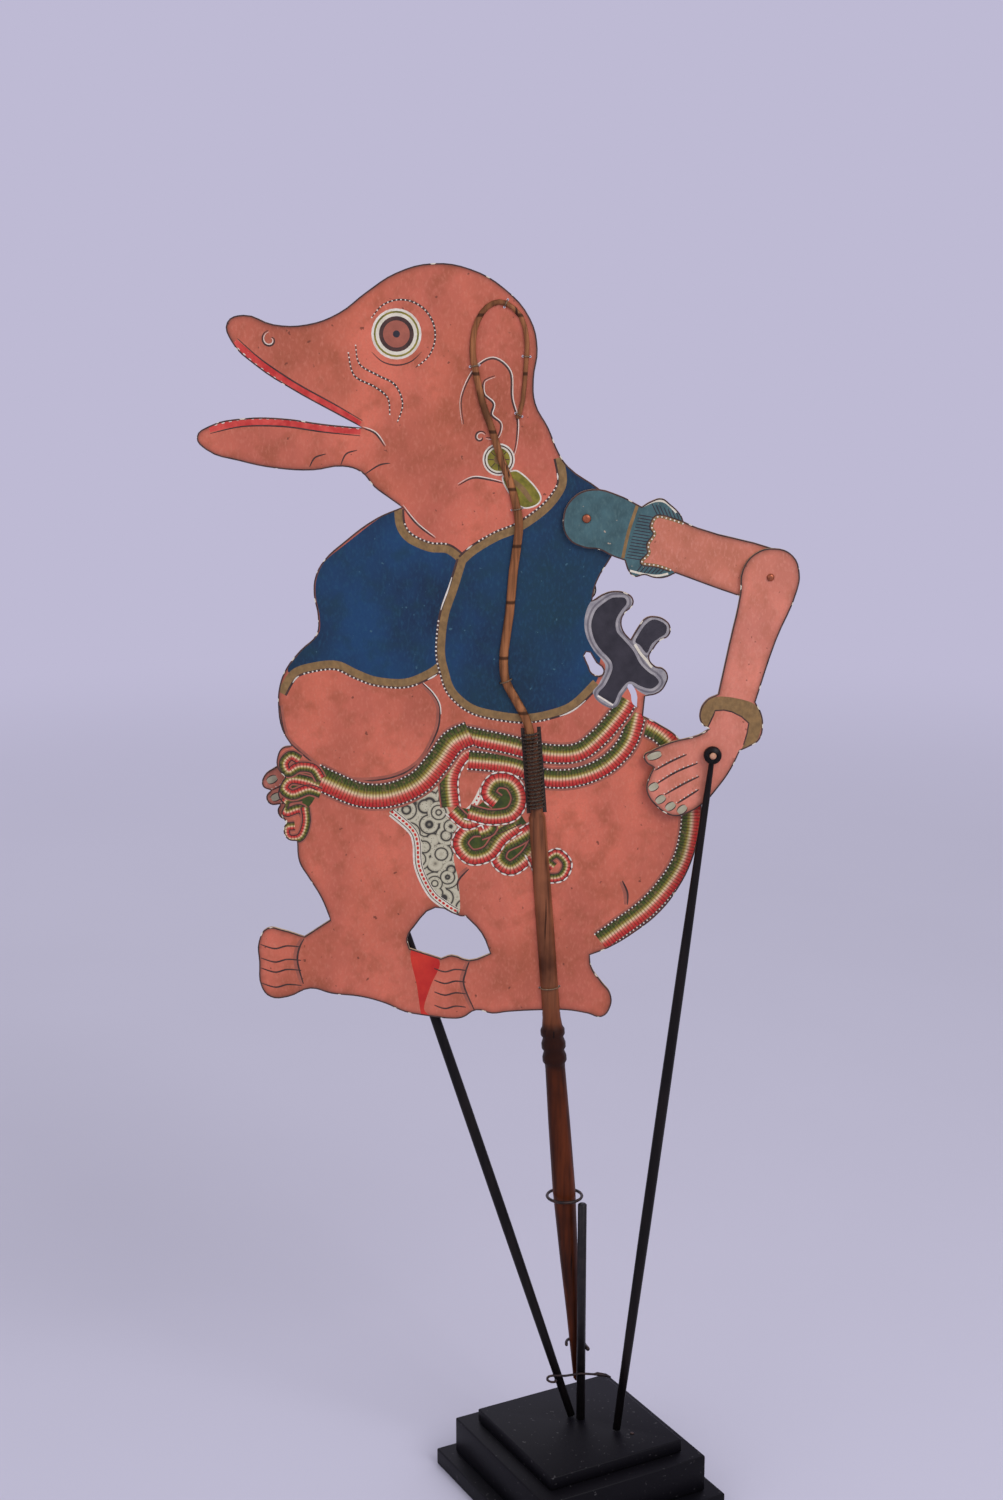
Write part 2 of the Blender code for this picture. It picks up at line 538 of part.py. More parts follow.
# The stand: three stacked boards, a post, and bent wires that hold the grip
def board(name, side, low, high):
    bm = bmesh.new()
    bmesh.ops.create_cube(bm, size=1)
    size = Matrix.Diagonal((side, side, high - low, 1))
    turn = Matrix.Rotation(BASE_TURN, 4, "Z")
    bmesh.ops.transform(bm, matrix=Matrix.Translation((0, 0, (low + high) / 2)) @ turn @ size, verts=bm.verts)
    made = mesh_object(name, bm, BLACK_PAINT)
    bevel = made.modifiers.new("worn edges", "BEVEL")
    bevel.width = BASE_EDGE
    bevel.segments = 2
    return made


block_low = PLINTH_HEIGHT + GLUE_GAP
plate_low = block_low + BLOCK_HEIGHT + GLUE_GAP
board("base_plinth", PLINTH_SIDE, 0, PLINTH_HEIGHT)
board("base_block", BLOCK_SIDE, block_low, block_low + BLOCK_HEIGHT)
plate = board("base_plate", PLATE_SIDE, plate_low, BASE_TOP)

POST_SPOT = Vector((1.5 * MM, HIDE_SETBACK - 9 * MM, 0))
BRAD_SPOT = Vector((31 * MM, -11 * MM, 0))
post_low, post_high = plate_low + GLUE_GAP, BASE_TOP + POST_HEIGHT
at_post = Matrix.Translation(POST_SPOT)
post_profile = [(post_low, POST_RADIUS), (post_high - 0.6 * MM, POST_RADIUS), (post_high, POST_RADIUS * 0.75)]
lathe("stand_post", post_profile, at_post, IRON, 16)
socket = [(plate_low - 1 * MM, POST_RADIUS + GLUE_GAP), (BASE_TOP + 1 * MM, POST_RADIUS + GLUE_GAP)]
boolean(plate, lathe("post_socket", socket, at_post, None, 16, hidden=True))
at_brad = Matrix.Translation(BRAD_SPOT)
shank = BRAD_RADIUS * 0.5
brad_low = plate_low + PLATE_HEIGHT * 0.3
brad_head = BASE_TOP + GLUE_GAP
brad_profile = [
    (brad_low, shank), (brad_head, shank), (brad_head, BRAD_RADIUS), (brad_head + 0.4 * MM, BRAD_RADIUS * 0.8),
    (brad_head + 0.6 * MM, BRAD_RADIUS * 0.4),
]
lathe("base_brad", brad_profile, at_brad, COPPER, 12)
hole = [(plate_low - 1 * MM, shank + GLUE_GAP), (BASE_TOP + 1 * MM, shank + GLUE_GAP)]
boolean(plate, lathe("brad_socket", hole, at_brad, None, 12, hidden=True))

ring_z = post_high + WIRE_RADIUS + GLUE_GAP
ring_middle = on_axis((ring_z - SOLE_Z) / UNIT)
ring = []
for k in range(28):
    angle = math.tau * k / 28
    ring.append(ring_middle + Vector((math.cos(angle), math.sin(angle), 0)) * RING_RADIUS)
tube("upper_ring", ring, WIRE_RADIUS, IRON, closed=True)

fork_z = BASE_TOP + FORK_HEIGHT
fork_middle = on_axis((fork_z - SOLE_Z) / UNIT)
fork = [fork_middle + Vector((-FORK_RADIUS, -3.5 * MM, 0))]
for k in range(13):
    angle = math.pi - math.pi * k / 12
    fork.append(fork_middle + Vector((math.cos(angle), math.sin(angle), 0)) * FORK_RADIUS)
fork_end = POST_SPOT + Vector((POST_RADIUS + 1.6 * WIRE_RADIUS + GLUE_GAP, 0, fork_z))
fork += [fork[-1].lerp(fork_end, 0.5), fork_end.lerp(fork[-1], 0.12), fork_end]
tube("lower_fork", fork, WIRE_RADIUS, IRON, sizes=[1] * (len(fork) - 2) + [1.5, 1.2])

clip_z = BASE_TOP + CLIP_HEIGHT
clip_y = POST_SPOT.y - POST_RADIUS - WIRE_RADIUS - GLUE_GAP
loop_middle = Vector((-16 * MM, clip_y - CLIP_LOOP_RADIUS, clip_z - 2 * MM))
clip = []
for k in range(13):
    angle = math.radians(75) + math.radians(315) * k / 12
    clip.append(loop_middle + Vector((math.cos(angle), math.sin(angle), 0)) * CLIP_LOOP_RADIUS)
clip = [spot + Vector((0, 0, (12 - k) * 0.18 * MM)) for k, spot in enumerate(clip)][::-1]
clip += [Vector((x * MM, clip_y + y * MM, clip_z + z * MM)) for x, y, z in ((-8, 0, 0), (1.5, 0, 1.5), (9, 0, 1))]
clip += [Vector((x * MM, clip_y, clip_z + z * MM)) for x, z in ((11, 1.2), (16, 0.4), (19, -0.8))]
tube("rod_clip", clip, WIRE_RADIUS * 0.8, IRON, sizes=[1] * (len(clip) - 3) + [1.7, 1.5, 0.6])


# Each moving body hangs from an empty on its joint's axis, and its hidden cutters with it
def hang(name, spot, pieces, carrier=None):
    axis = bpy.data.objects.new(name, None)
    axis.empty_display_size = 10 * MM
    axis.location = spot
    bpy.context.scene.collection.objects.link(axis)
    for piece in pieces:
        bpy.data.objects[piece].parent = axis
        bpy.data.objects[piece].matrix_parent_inverse = Matrix.Translation(-spot)
    if carrier:
        axis.parent = carrier
        axis.matrix_parent_inverse = Matrix.Translation(-carrier.location)
    return axis


figure_pieces = ["body_hide", "grip", "kerf_cutter", "front_cane", "back_cane", "waist_lashing", "shoulder_peg"]
figure_pieces += ["shoulder_spacer", "spacer_bore", "tie_foot", *TIES]
figure_axis = hang("figure_axis", TIP, figure_pieces)
for side_name, elbow, hand in (("near", NEAR_ELBOW, NEAR_HAND), ("far", FAR_ELBOW, FAR_HAND)):
    shoulder_axis = hang(
        side_name + "_shoulder_axis", place(*SHOULDER), [side_name + "_upper_arm", side_name + "_elbow_peg"], figure_axis
    )
    elbow_axis = hang(
        side_name + "_elbow_axis", place(*elbow), [side_name + "_forearm", side_name + "_hand_peg"], shoulder_axis
    )
    rod_pieces = [side_name + "_hand_rod" + part for part in ("", "_eye", "_bore")]
    hang(side_name + "_rod_axis", place(*hand), rod_pieces, elbow_axis)
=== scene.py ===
"""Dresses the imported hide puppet: painted hide, worn wood, thread, wire and a black stand, under plain light."""

import math
from collections import namedtuple

import bmesh
import bpy
import numpy as np
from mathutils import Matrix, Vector
from mathutils.geometry import delaunay_2d_cdt


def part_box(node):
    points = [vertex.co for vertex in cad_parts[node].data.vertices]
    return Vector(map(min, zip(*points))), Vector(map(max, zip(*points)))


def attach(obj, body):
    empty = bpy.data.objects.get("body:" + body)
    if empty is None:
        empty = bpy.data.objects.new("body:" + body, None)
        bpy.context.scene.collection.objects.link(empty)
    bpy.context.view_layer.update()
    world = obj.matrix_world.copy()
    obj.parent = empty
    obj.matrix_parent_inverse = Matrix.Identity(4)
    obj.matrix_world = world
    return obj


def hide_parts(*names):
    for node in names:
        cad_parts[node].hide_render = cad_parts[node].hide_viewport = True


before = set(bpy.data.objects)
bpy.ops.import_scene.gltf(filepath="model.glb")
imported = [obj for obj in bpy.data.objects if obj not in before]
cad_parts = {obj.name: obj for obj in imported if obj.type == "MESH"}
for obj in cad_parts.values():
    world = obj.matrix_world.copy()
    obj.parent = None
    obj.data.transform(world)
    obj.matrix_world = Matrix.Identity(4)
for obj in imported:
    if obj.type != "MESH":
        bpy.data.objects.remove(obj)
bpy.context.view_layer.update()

bl_info = {
    "name": "Hide puppet dressing",
    "version": (1, 0, 0),
    "blender": (4, 5, 0),
    "location": "View3D > Sidebar > Puppet",
    "description": "Paints and dresses a packed hide puppet on its stand",
    "category": "Object",
}

MM = 0.001
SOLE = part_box("body_hide")[0].z
BLACK, WHITE = (0.0, 0.0, 0.0), (1.0, 1.0, 1.0)

# Looks
STRIPED = ("sash", "skin_edge", "arm_edge")  # these read the place along and across a band
NOISE_TURN = (0.6, 0.4, 0.9)  # keeps the noise grid off the hide's plane
SASH_HATCH = 1.8  # millimetres from one thread line to the next
ROSETTE_SCALE, ROSETTE_RINGS, BATIK_DOT_SCALE = 96, 27, 900
GRIP_FADE = (SOLE - 0.02, SOLE + 0.03)  # the heights between which the grip turns paler
GRIP_BEADS = (SOLE - 0.06, SOLE + 0.02)  # the heights that hold its turned beads
CANE_JOINT = 0.031  # metres from one joint of the cane to the next


def tint(red, green, blue):
    """An 8-bit display colour as linear light."""
    return tuple((c / 255 / 12.92 if c < 11 else ((c / 255 + 0.055) / 1.055) ** 2.4) for c in (red, green, blue))


def tints(stops):
    """Places and 8-bit display colours as the stops of a ramp."""
    return [(at, tint(*shade)) for at, *shade in stops]


def lit(colour, by):
    """A linear colour made lighter or darker."""
    return tuple(c * by for c in colour)


def grey(level):
    return (level, level, level)


class Finish:
    """A node material under construction: a Principled shader and a few helpers."""

    def __init__(self, name, roughness=0.6, metallic=0.0, specular=0.35):
        self.material = bpy.data.materials.new(name)
        self.material.use_nodes = True
        self.tree = self.material.node_tree
        self.shader = self.tree.nodes["Principled BSDF"]
        for socket, value in (("Roughness", roughness), ("Metallic", metallic), ("Specular IOR Level", specular)):
            self.shader.inputs[socket].default_value = value
        self.place = self.node("ShaderNodeTexCoord").outputs["Object"]

    def node(self, kind, sockets=None, **values):
        """A new node, with its settings and the constants on its sockets."""
        made = self.tree.nodes.new(kind)
        for key, value in values.items():
            setattr(made, key, value)
        for socket, value in (sockets or {}).items():
            made.inputs[socket].default_value = value
        return made

    def link(self, out, into):
        self.tree.links.new(out, into)

    def through(self, kind, source, into, out, sockets=None, **values):
        """What comes out of a new node that one value runs through."""
        made = self.node(kind, sockets, **values)
        self.link(source, made.inputs[into])
        return made.outputs[out]

    def stretched(self, scale):
        """The place on the piece, scaled by axis."""
        sockets = {"Scale": scale, "Rotation": NOISE_TURN}
        return self.through("ShaderNodeMapping", self.place, "Vector", "Vector", sockets)

    def noise(self, scale, detail=4.0, along=(1, 1, 1)):
        sockets = {"Scale": scale, "Detail": detail}
        return self.through("ShaderNodeTexNoise", self.stretched(along), "Vector", "Fac", sockets)

    def cells(self, scale):
        """The distance to the nearest of many scattered centres, alike through the hide."""
        place = self.stretched((1, 0.01, 1))
        return self.through("ShaderNodeTexVoronoi", place, "Vector", "Distance", {"Scale": scale})

    def maths(self, operation, source, *values):
        return self.through("ShaderNodeMath", source, 0, 0, dict(enumerate(values, 1)), operation=operation)

    def between(self, source, low, high, **values):
        """The share of the way from a low value to a high one."""
        sockets = {"From Min": low, "From Max": high}
        return self.through("ShaderNodeMapRange", source, "Value", "Result", sockets, **values)

    def ramp(self, source, stops):
        made = self.node("ShaderNodeValToRGB")
        while len(made.color_ramp.elements) < len(stops):
            made.color_ramp.elements.new(0.5)
        for element, (at, colour) in zip(made.color_ramp.elements, stops):
            element.position = at
            element.color = (*colour, 1)
        self.link(source, made.inputs["Fac"])
        return made.outputs["Color"]

    def mask(self, source, low, high, most=1.0):
        """Nothing below the low value, and the most above the high one."""
        return self.ramp(source, [(low, BLACK), (high, grey(most))])

    def mix(self, share, first, second, kind="MIX"):
        made = self.node("ShaderNodeMix", data_type="RGBA", blend_type=kind)
        sockets = [made.inputs["Factor"], *(socket for socket in made.inputs if socket.type == "RGBA")]
        for value, into in zip((share, first, second), sockets):
            if isinstance(value, bpy.types.NodeSocket):
                self.link(value, into)
            else:
                into.default_value = (*value, 1) if isinstance(value, tuple) else value
        return [socket for socket in made.outputs if socket.type == "RGBA"][0]

    def ribbon_axes(self):
        """The length along a painted band and the share across it."""
        split = self.node("ShaderNodeSeparateXYZ")
        self.link(self.node("ShaderNodeUVMap", uv_map="ribbon").outputs["UV"], split.inputs["Vector"])
        return split.outputs["X"], split.outputs["Y"]

    def done(self, colour, height, strength=0.2, depth=0.1 * MM):
        """The material, with its colour and a fine bump."""
        bump = self.node("ShaderNodeBump", {"Strength": strength, "Distance": depth})
        self.link(colour, self.shader.inputs["Base Color"])
        self.link(height, bump.inputs["Height"])
        self.link(bump.outputs["Normal"], self.shader.inputs["Normal"])
        return self.material


def painted(name, base, worn, scale=45, brush=(1, 1, 1), roughness=0.6, chips=None, stain=None, edge=None, fibre=None):
    """Hand paint: a cloudy mix of two tones along the brush, with a fine grain.

    Stains, hide fibres, chips and a darker edge across a band come with their colours.
    """
    look = Finish(name, roughness)
    cloud = look.noise(scale, 6, brush)
    colour = look.mix(look.mask(cloud, 0.36, 0.66), base, worn)
    if stain:
        colour = look.mix(look.mask(look.noise(14, 5), 0.44, 0.72, 0.75), colour, stain)
        colour = look.mix(look.mask(look.noise(90, 6), 0.48, 0.7, 0.6), colour, stain)
    if fibre:
        colour = look.mix(look.mask(look.noise(620, 6, (1.2, 1, 0.6)), 0.5, 0.76, 0.5), colour, fibre)
    grain = look.noise(900, 3)
    colour = look.mix(look.ramp(grain, [(0.3, grey(0.7)), (0.62, WHITE)]), lit(worn, 0.7), colour)
    if chips:
        colour = look.mix(look.mask(look.noise(260, 2), 0.72, 0.75, 0.8), colour, chips)
    if edge:
        stops = [(0.0, BLACK), (0.45, grey(0.14)), (0.85, grey(0.6)), (1.0, grey(0.85))]
        colour = look.mix(look.ramp(look.ribbon_axes()[1], stops), colour, edge)
    rough = look.ramp(cloud, [(0.3, grey(roughness - 0.12)), (0.7, grey(roughness + 0.12))])
    look.link(rough, look.shader.inputs["Roughness"])
    return look.done(colour, grain, 0.25, 0.08 * MM)


def sash_paint():
    """Striped ribbon: the colours run across, and fine thread lines are drawn over them."""
    look = Finish("sash stripes")
    along, across = look.ribbon_axes()
    stripes = (
        (0.0, 54, 68, 20), (0.25, 74, 86, 26), (0.38, 152, 136, 50), (0.5, 226, 206, 156),
        (0.58, 230, 168, 144), (0.68, 212, 86, 70), (0.82, 192, 42, 40), (1.0, 176, 32, 30),
    )
    wave = look.maths("SINE", look.maths("MULTIPLY", along, math.tau / SASH_HATCH))
    hatch = look.ramp(wave, [(0.0, WHITE), (0.2, WHITE), (0.85, (0.34, 0.22, 0.16))])
    colour = look.mix(0.8, look.ramp(across, tints(stripes)), hatch, "MULTIPLY")
    grain = look.noise(700)
    return look.done(look.mix(look.mask(grain, 0.5, 0.9), colour, tint(150, 110, 80)), grain)


def batik_paint():
    """Cream cloth drawn with dark rosettes: rings round scattered centres, and dots."""
    look = Finish("batik flap", 0.7)
    wave = look.maths("SINE", look.maths("MULTIPLY", look.cells(ROSETTE_SCALE), ROSETTE_RINGS))
    level = look.maths("MULTIPLY_ADD", wave, 0.5, 0.5)
    tones = ((0.05, 58, 55, 50), (0.16, 128, 121, 104), (0.3, 176, 168, 144), (0.9, 196, 189, 164))
    spots = look.mask(look.cells(BATIK_DOT_SCALE), 0.16, 0.24)
    return look.done(look.mix(spots, tint(92, 88, 78), look.ramp(level, tints(tones))), look.noise(600))


def grained(name, light, dark, along=(1, 1, 0.06), scale=320, roughness=0.42, upper=None, joints=0.0):
    """Wood with its grain along Z, dirt and dry cracks.

    A grip has an upper colour, above the soles, and is dark at its beads. Cane has joints.
    """
    look = Finish(name, roughness, specular=0.14)
    grain = look.noise(scale, 8, along)
    colour = look.ramp(grain, [(0.3, dark), (0.55, light), (0.75, lit(light, 1.25))])
    height = look.through("ShaderNodeSeparateXYZ", look.place, "Vector", "Z")
    if upper:
        pale = look.ramp(grain, [(0.3, lit(upper, 0.45)), (0.5, upper), (0.75, lit(upper, 1.3))])
        colour = look.mix(look.between(height, *GRIP_FADE), colour, pale)
        stops = [(0.37, BLACK), (0.42, grey(0.8)), (0.68, grey(0.8)), (0.73, BLACK)]
        colour = look.mix(look.ramp(look.between(height, *GRIP_BEADS), stops), colour, lit(dark, 0.5))
    colour = look.mix(look.mask(look.noise(28), 0.42, 0.74), colour, dark)
    colour = look.mix(look.mask(look.noise(420, 3, (1, 1, 0.035)), 0.66, 0.72), colour, lit(dark, 0.3))
    if joints:
        share = look.maths("DIVIDE", look.maths("PINGPONG", height, joints / 2), joints / 2)
        knot = look.ramp(share, [(0.0, grey(0.9)), (0.045, grey(0.8)), (0.08, BLACK)])
        colour = look.mix(knot, colour, lit(dark, 0.35))
    return look.done(colour, grain, 0.35, 0.15 * MM)


def black_wood(base):
    """Satin black paint with a little dust."""
    look = Finish("black stand paint", 0.5, specular=0.12)
    cloud = look.mix(look.noise(20), base, lit(base, 2.1))
    dust = look.mask(look.noise(420, 2), 0.68, 0.74)
    return look.done(look.mix(dust, cloud, tint(62, 60, 62)), look.noise(600), 0.15)


def spun(name, base, pale):
    """Waxed thread with a fine twist."""
    look = Finish(name, 0.8, specular=0.25)
    twist = look.noise(1500, 3, (1, 1, 2))
    return look.done(look.mix(look.mask(twist, 0.45, 0.7), base, pale), twist, 0.6, 0.15 * MM)


def metal(name, base, worn, roughness, metallic):
    """Dull metal with worn patches."""
    look = Finish(name, roughness, metallic, 0.5)
    patch = look.noise(240, 5)
    return look.done(look.mix(look.mask(patch, 0.45, 0.7), base, worn), patch)


LOOKS = {}
PLAIN_PAINTS = {  # name, two display colours, scale of the brush marks
    "dark": ("ink line", (48, 34, 32), (86, 58, 52), 200),
    "raw": ("raw hide edge", (196, 168, 132), (150, 112, 84), 200),
    "shade": ("soft line", (150, 84, 68), (172, 98, 80), 160),
    "white": ("white lines", (236, 228, 216), (214, 200, 184), 200),
    "red": ("red paint", (186, 30, 24), (212, 56, 40), 80),
    "black": ("hilt black", (40, 37, 44), (58, 54, 62), 120),
    "grey": ("hilt grey", (138, 133, 138), (172, 166, 166), 200),
    "slate": ("hilt slate", (104, 99, 106), (128, 122, 126), 200),
    "cream": ("cream edge", (214, 204, 182), (230, 222, 204), 200),
    "nail": ("nail paint", (164, 158, 132), (190, 182, 158), 200),
    # painted shade: the lashing slots stay closed and are painted dark, standing for the shadow inside an open slot
    "pitch": ("pitch in the slots", (40, 30, 26), (60, 46, 38), 200),
    "leaf": ("dark green folds", (46, 58, 20), (70, 82, 26), 300),
    "olive": ("olive paint", (98, 96, 24), (150, 136, 50), 200),
    "bone": ("bone peg", (206, 156, 126), (184, 128, 100), 300),
}


def make_looks(settings):
    """Mixes every finish from the colours in the settings."""
    keys = ("skin", "arm", "vest", "sleeve", "trim", "wood", "cane", "stand")
    skin, arm, vest, sleeve, trim, wood, cane, black = (tuple(getattr(settings, key)) for key in keys)
    ink = tint(74, 44, 38)
    flesh = dict(
        scale=30, brush=(1, 1, 0.6), chips=tint(112, 58, 42), stain=tint(154, 80, 50), fibre=tint(214, 132, 108)
    )
    limb = dict(
        scale=34, brush=(1, 1, 0.7), chips=tint(146, 82, 62), stain=tint(176, 102, 74), fibre=tint(226, 152, 132)
    )
    blue = dict(scale=30, brush=(1, 1, 0.8), chips=tint(64, 104, 120), stain=tint(14, 54, 66), fibre=tint(32, 82, 110))
    teal = dict(scale=120, roughness=0.55, chips=tint(190, 168, 146), fibre=tint(96, 126, 124))
    for key, (name, base, worn, scale) in PLAIN_PAINTS.items():
        LOOKS[key] = painted(name, tint(*base), tint(*worn), scale)
    LOOKS.update(
        skin=painted("skin paint", skin, lit(skin, 1.4), **flesh),
        skin_edge=painted("skin paint at its edges", skin, lit(skin, 1.4), edge=ink, **flesh),
        arm=painted("arm skin paint", arm, lit(arm, 1.3), **limb),
        arm_edge=painted("arm paint at its edges", arm, lit(arm, 1.3), edge=ink, **limb),
        vest=painted("blue vest paint", vest, lit(vest, 2.8), **blue),
        gold=painted("gold trim", trim, lit(trim, 1.5), 300, fibre=tint(160, 130, 86)),
        teal=painted("sleeve paint", sleeve, lit(sleeve, 1.6), **teal),
        lip=painted("lip paint", tint(190, 40, 40), tint(220, 84, 74), 160, chips=tint(235, 205, 195)),
        sash=sash_paint(),
        batik=batik_paint(),
        wood=grained("turned grip wood", wood, lit(wood, 0.24), upper=tint(132, 80, 54)),
        cane=grained("split cane", cane, lit(cane, 0.3), (1, 1, 0.05), 500, 0.5, joints=CANE_JOINT),
        rod=grained("black rod", tint(24, 19, 19), tint(12, 10, 11), (1, 1, 0.04), 300, 0.4),
        stand=black_wood(black),
        lashing=spun("lashing thread", tint(38, 30, 26), tint(110, 92, 76)),
        tie=spun("tie thread", tint(104, 84, 66), tint(160, 136, 110)),
        copper=metal("copper peg", tint(168, 96, 66), tint(120, 66, 48), 0.42, 0.75),
        post=metal("blackened post", tint(24, 21, 22), tint(38, 33, 32), 0.42, 0.4),
        iron=metal("dark wire", tint(44, 36, 34), tint(74, 54, 46), 0.45, 0.6),
    )


# Painting on a flat sheet
WELD, FLAT = 1e-6, 1e-5  # metres: corners this close are one, and points this close lie in one face
LEAST_AREA, CUT_WELD = 1e-6, 1e-5  # pattern millimetres: smaller outlines are dropped, and edges this close meet
CURL_STEPS, DOT_SIDES, DISC_SIDES = 14, 6, 28
SLOT_RIM, SLOT_HALF_WIDTH = 60, 1.6  # millimetres: a slot's rim is longer, and half its width is less
OUTSIDE, BARE = -2, -1  # who owns a cell of the sheet, if no painted shape does
SMALL_HOLE, CHIP_SHARE = 16, 0.34  # most corners of a hole with a plain edge, and how often other edges are chipped
Shape = namedtuple("Shape", "order number look outline piece")


def circle(count):
    """The directions of points spread evenly round a circle."""
    return [(math.cos(math.tau * k / count), math.sin(math.tau * k / count)) for k in range(count)]


def scatter(number, step, gain):
    """A value from 0 to 1 that looks random and is the same each run."""
    return math.sin(number * step) * gain % 1


def smooth(points, closed=False, steps=6):
    """Points along a smooth line through the given ones."""
    count = len(points)
    out = []
    for i in range(count if closed else count - 1):
        ids = [(i + k) % count if closed else max(0, min(count - 1, i + k)) for k in (-1, 0, 1, 2)]
        a, b, c, d = (Vector(points[k][:2]) for k in ids)
        bend, twist = 2 * a - 5 * b + 4 * c - d, 3 * b - a - 3 * c + d
        for s in range(steps):
            t = s / steps
            out.append(0.5 * (2 * b + (c - a) * t + bend * t**2 + twist * t**3))
    return out if closed else out + [Vector(points[-1][:2])]


def path(*numbers):
    """Points from their x and z in turn."""
    return list(zip(numbers[::2], numbers[1::2]))


def dense(points, closed=False):
    """Vectors are points of a line that is dense already. Others are joined by a smooth line."""
    return points if isinstance(points[0], Vector) else smooth(points, closed)


def spiral(centre, start, turns, outer, inner):
    """A curl from its outer end to its middle. start and turns are in degrees, plus is anticlockwise."""
    count = max(4, int(abs(turns) / 360 * CURL_STEPS))
    line = []
    for k in range(count + 1):
        share = k / count
        angle = math.radians(start + turns * share)
        radius = outer + (inner - outer) * share
        line.append((centre[0] + radius * math.cos(angle), centre[1] + radius * math.sin(angle)))
    return line


class Sheet:
    """One hide piece. Painted shapes are gathered, cut into the sheet together, and the last one on top shows.

    Both faces carry the same paint, as on a real hide that is painted from both sides.
    """

    def __init__(self, node, body, base):
        low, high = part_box(node)
        self.node, self.body, self.base = node, body, base
        self.depths = (low.y, high.y)
        self.shapes = []
        settings = bpy.context.scene.puppet
        self.edge, self.spacing = settings.edge_width / MM, settings.dot_spacing / MM

    def add(self, look, corners, order, piece=None):
        """An outline, turned anticlockwise. piece is the part of a band that it covers."""
        area = sum(a.x * b.y - b.x * a.y for a, b in zip(corners, corners[1:] + corners[:1]))
        if abs(area) > LEAST_AREA:
            outline = corners if area > 0 else corners[::-1]
            self.shapes.append(Shape(order, len(self.shapes), look, outline, piece))

    def region(self, look, points, order, curved=True):
        """A filled shape."""
        self.add(look, smooth(points, True) if curved else [Vector(p) for p in points], order)

    def band(self, look, points, width, order, closed=False, taper=0.0):
        """A stroke or ribbon along a line, width in millimetres, with the length and the share across as UV."""
        line = dense(points, closed)
        count = len(line)
        edges, run = [], 0.0
        for k, spot in enumerate(line):
            before = line[k - 1 if closed or k else 0]
            after = line[(k + 1) % count if closed or k < count - 1 else k]
            way = (after - before).normalized()
            run += (spot - line[k - 1]).length if k else 0
            thin = 1 - taper * abs(2 * k / max(1, count - 1) - 1) ** 2
            out = Vector((-way.y, way.x)) * width / 2 * thin
            edges.append((spot + out, spot - out, run))
        if closed:
            edges.append((edges[0][0], edges[0][1], run + (line[0] - line[-1]).length))
        if look not in STRIPED:
            self.add(look, [edge[0] for edge in edges] + [edge[1] for edge in reversed(edges)], order)
            return
        for piece in zip(edges, edges[1:]):
            (a, b, _), (c, d, _) = piece
            self.add(look, [a, b, d], order, piece)
            self.add(look, [a, d, c], order, piece)

    def dots(self, look, points, spacing, radius, order, dash=1.0):
        """Small round or long marks at even steps along a line."""
        line = smooth(points, steps=10)
        left = 0.0
        for a, b in zip(line, line[1:]):
            step = (b - a).length
            while left < step:
                spot, way = a.lerp(b, left / step), (b - a).normalized()
                side = Vector((-way.y, way.x))
                mark = [spot + way * c * radius * dash + side * s * radius for c, s in circle(DOT_SIDES)]
                self.region(look, mark, order, False)
                left += spacing
            left -= step

    def disc(self, look, centre, radius, order):
        ring = [(centre[0] + radius * c, centre[1] + radius * s) for c, s in circle(DISC_SIDES)]
        self.region(look, ring, order, False)

    def finish(self):
        """Cuts the sheet along every painted edge and makes it solid."""
        rings = rims(self.node)
        outer = max(rings, key=lambda ring: max(p.x for p in ring) - min(p.x for p in ring))
        holes = [ring for ring in rings if ring is not outer and not is_slot(ring)]
        shapes = sorted(self.shapes, key=lambda shape: shape[:2])
        spots, edges = [], []
        for loop in [outer, *holes, *(shape.outline for shape in shapes)]:
            start, size = len(spots), len(loop)
            spots.extend(loop)
            edges.extend((start + k, start + (k + 1) % size) for k in range(size))
        points, _, cells, *_ = delaunay_2d_cdt(spots, edges, [], 0, CUT_WELD, False)
        fans = [(cell[0], cell[k], cell[k + 1]) for cell in cells for k in range(1, len(cell) - 1)]
        places, cells = np.array(points), np.array(fans)
        middles = places[cells].mean(axis=1)
        rank = np.argsort(middles[:, 0])
        owners = np.full(len(cells), OUTSIDE)
        owners[within(outer, middles, rank)] = BARE
        for hole in holes:
            owners[within(hole, middles, rank)] = OUTSIDE
        for number, shape in enumerate(shapes):
            found = within(shape.outline, middles, rank)
            owners[found[owners[found] != OUTSIDE]] = number
        cells, owners = cells[owners != OUTSIDE], owners[owners != OUTSIDE]
        kept, cells = np.unique(cells, return_inverse=True)
        cells = cells.reshape(-1, 3)
        places, points = places[kept], [points[k] for k in kept]

        looks = [self.base, "raw"] + sorted({shape.look for shape in shapes} - {self.base})
        count = len(places)
        corners = [(x * MM, y, SOLE + z * MM) for y in self.depths for x, z in places]
        front = cells.tolist()
        used = {side for a, b, c in front for side in ((a, b), (b, c), (c, a))}
        walls = sorted((b, a, a + count, b + count) for a, b in used if (b, a) not in used)
        data = bpy.data.meshes.new(self.node + " painted")
        data.from_pydata(corners, [], front + (cells[:, ::-1] + count).tolist() + walls)
        for look in looks:
            data.materials.append(LOOKS[look])
        slots = [0 if k == BARE else looks.index(shapes[k].look) for k in owners]
        data.polygons.foreach_set("material_index", slots + slots + [1] * len(walls))
        uv = data.uv_layers.new(name="ribbon")
        for k, owner in enumerate(np.concatenate((owners, owners))):
            if owner != BARE and shapes[owner].look in STRIPED:
                for loop in data.polygons[k].loop_indices:
                    uv.data[loop].uv = band_uv(points[data.loops[loop].vertex_index % count], shapes[owner].piece)
        show(self.node + "_painted", data, self.node, self.body)


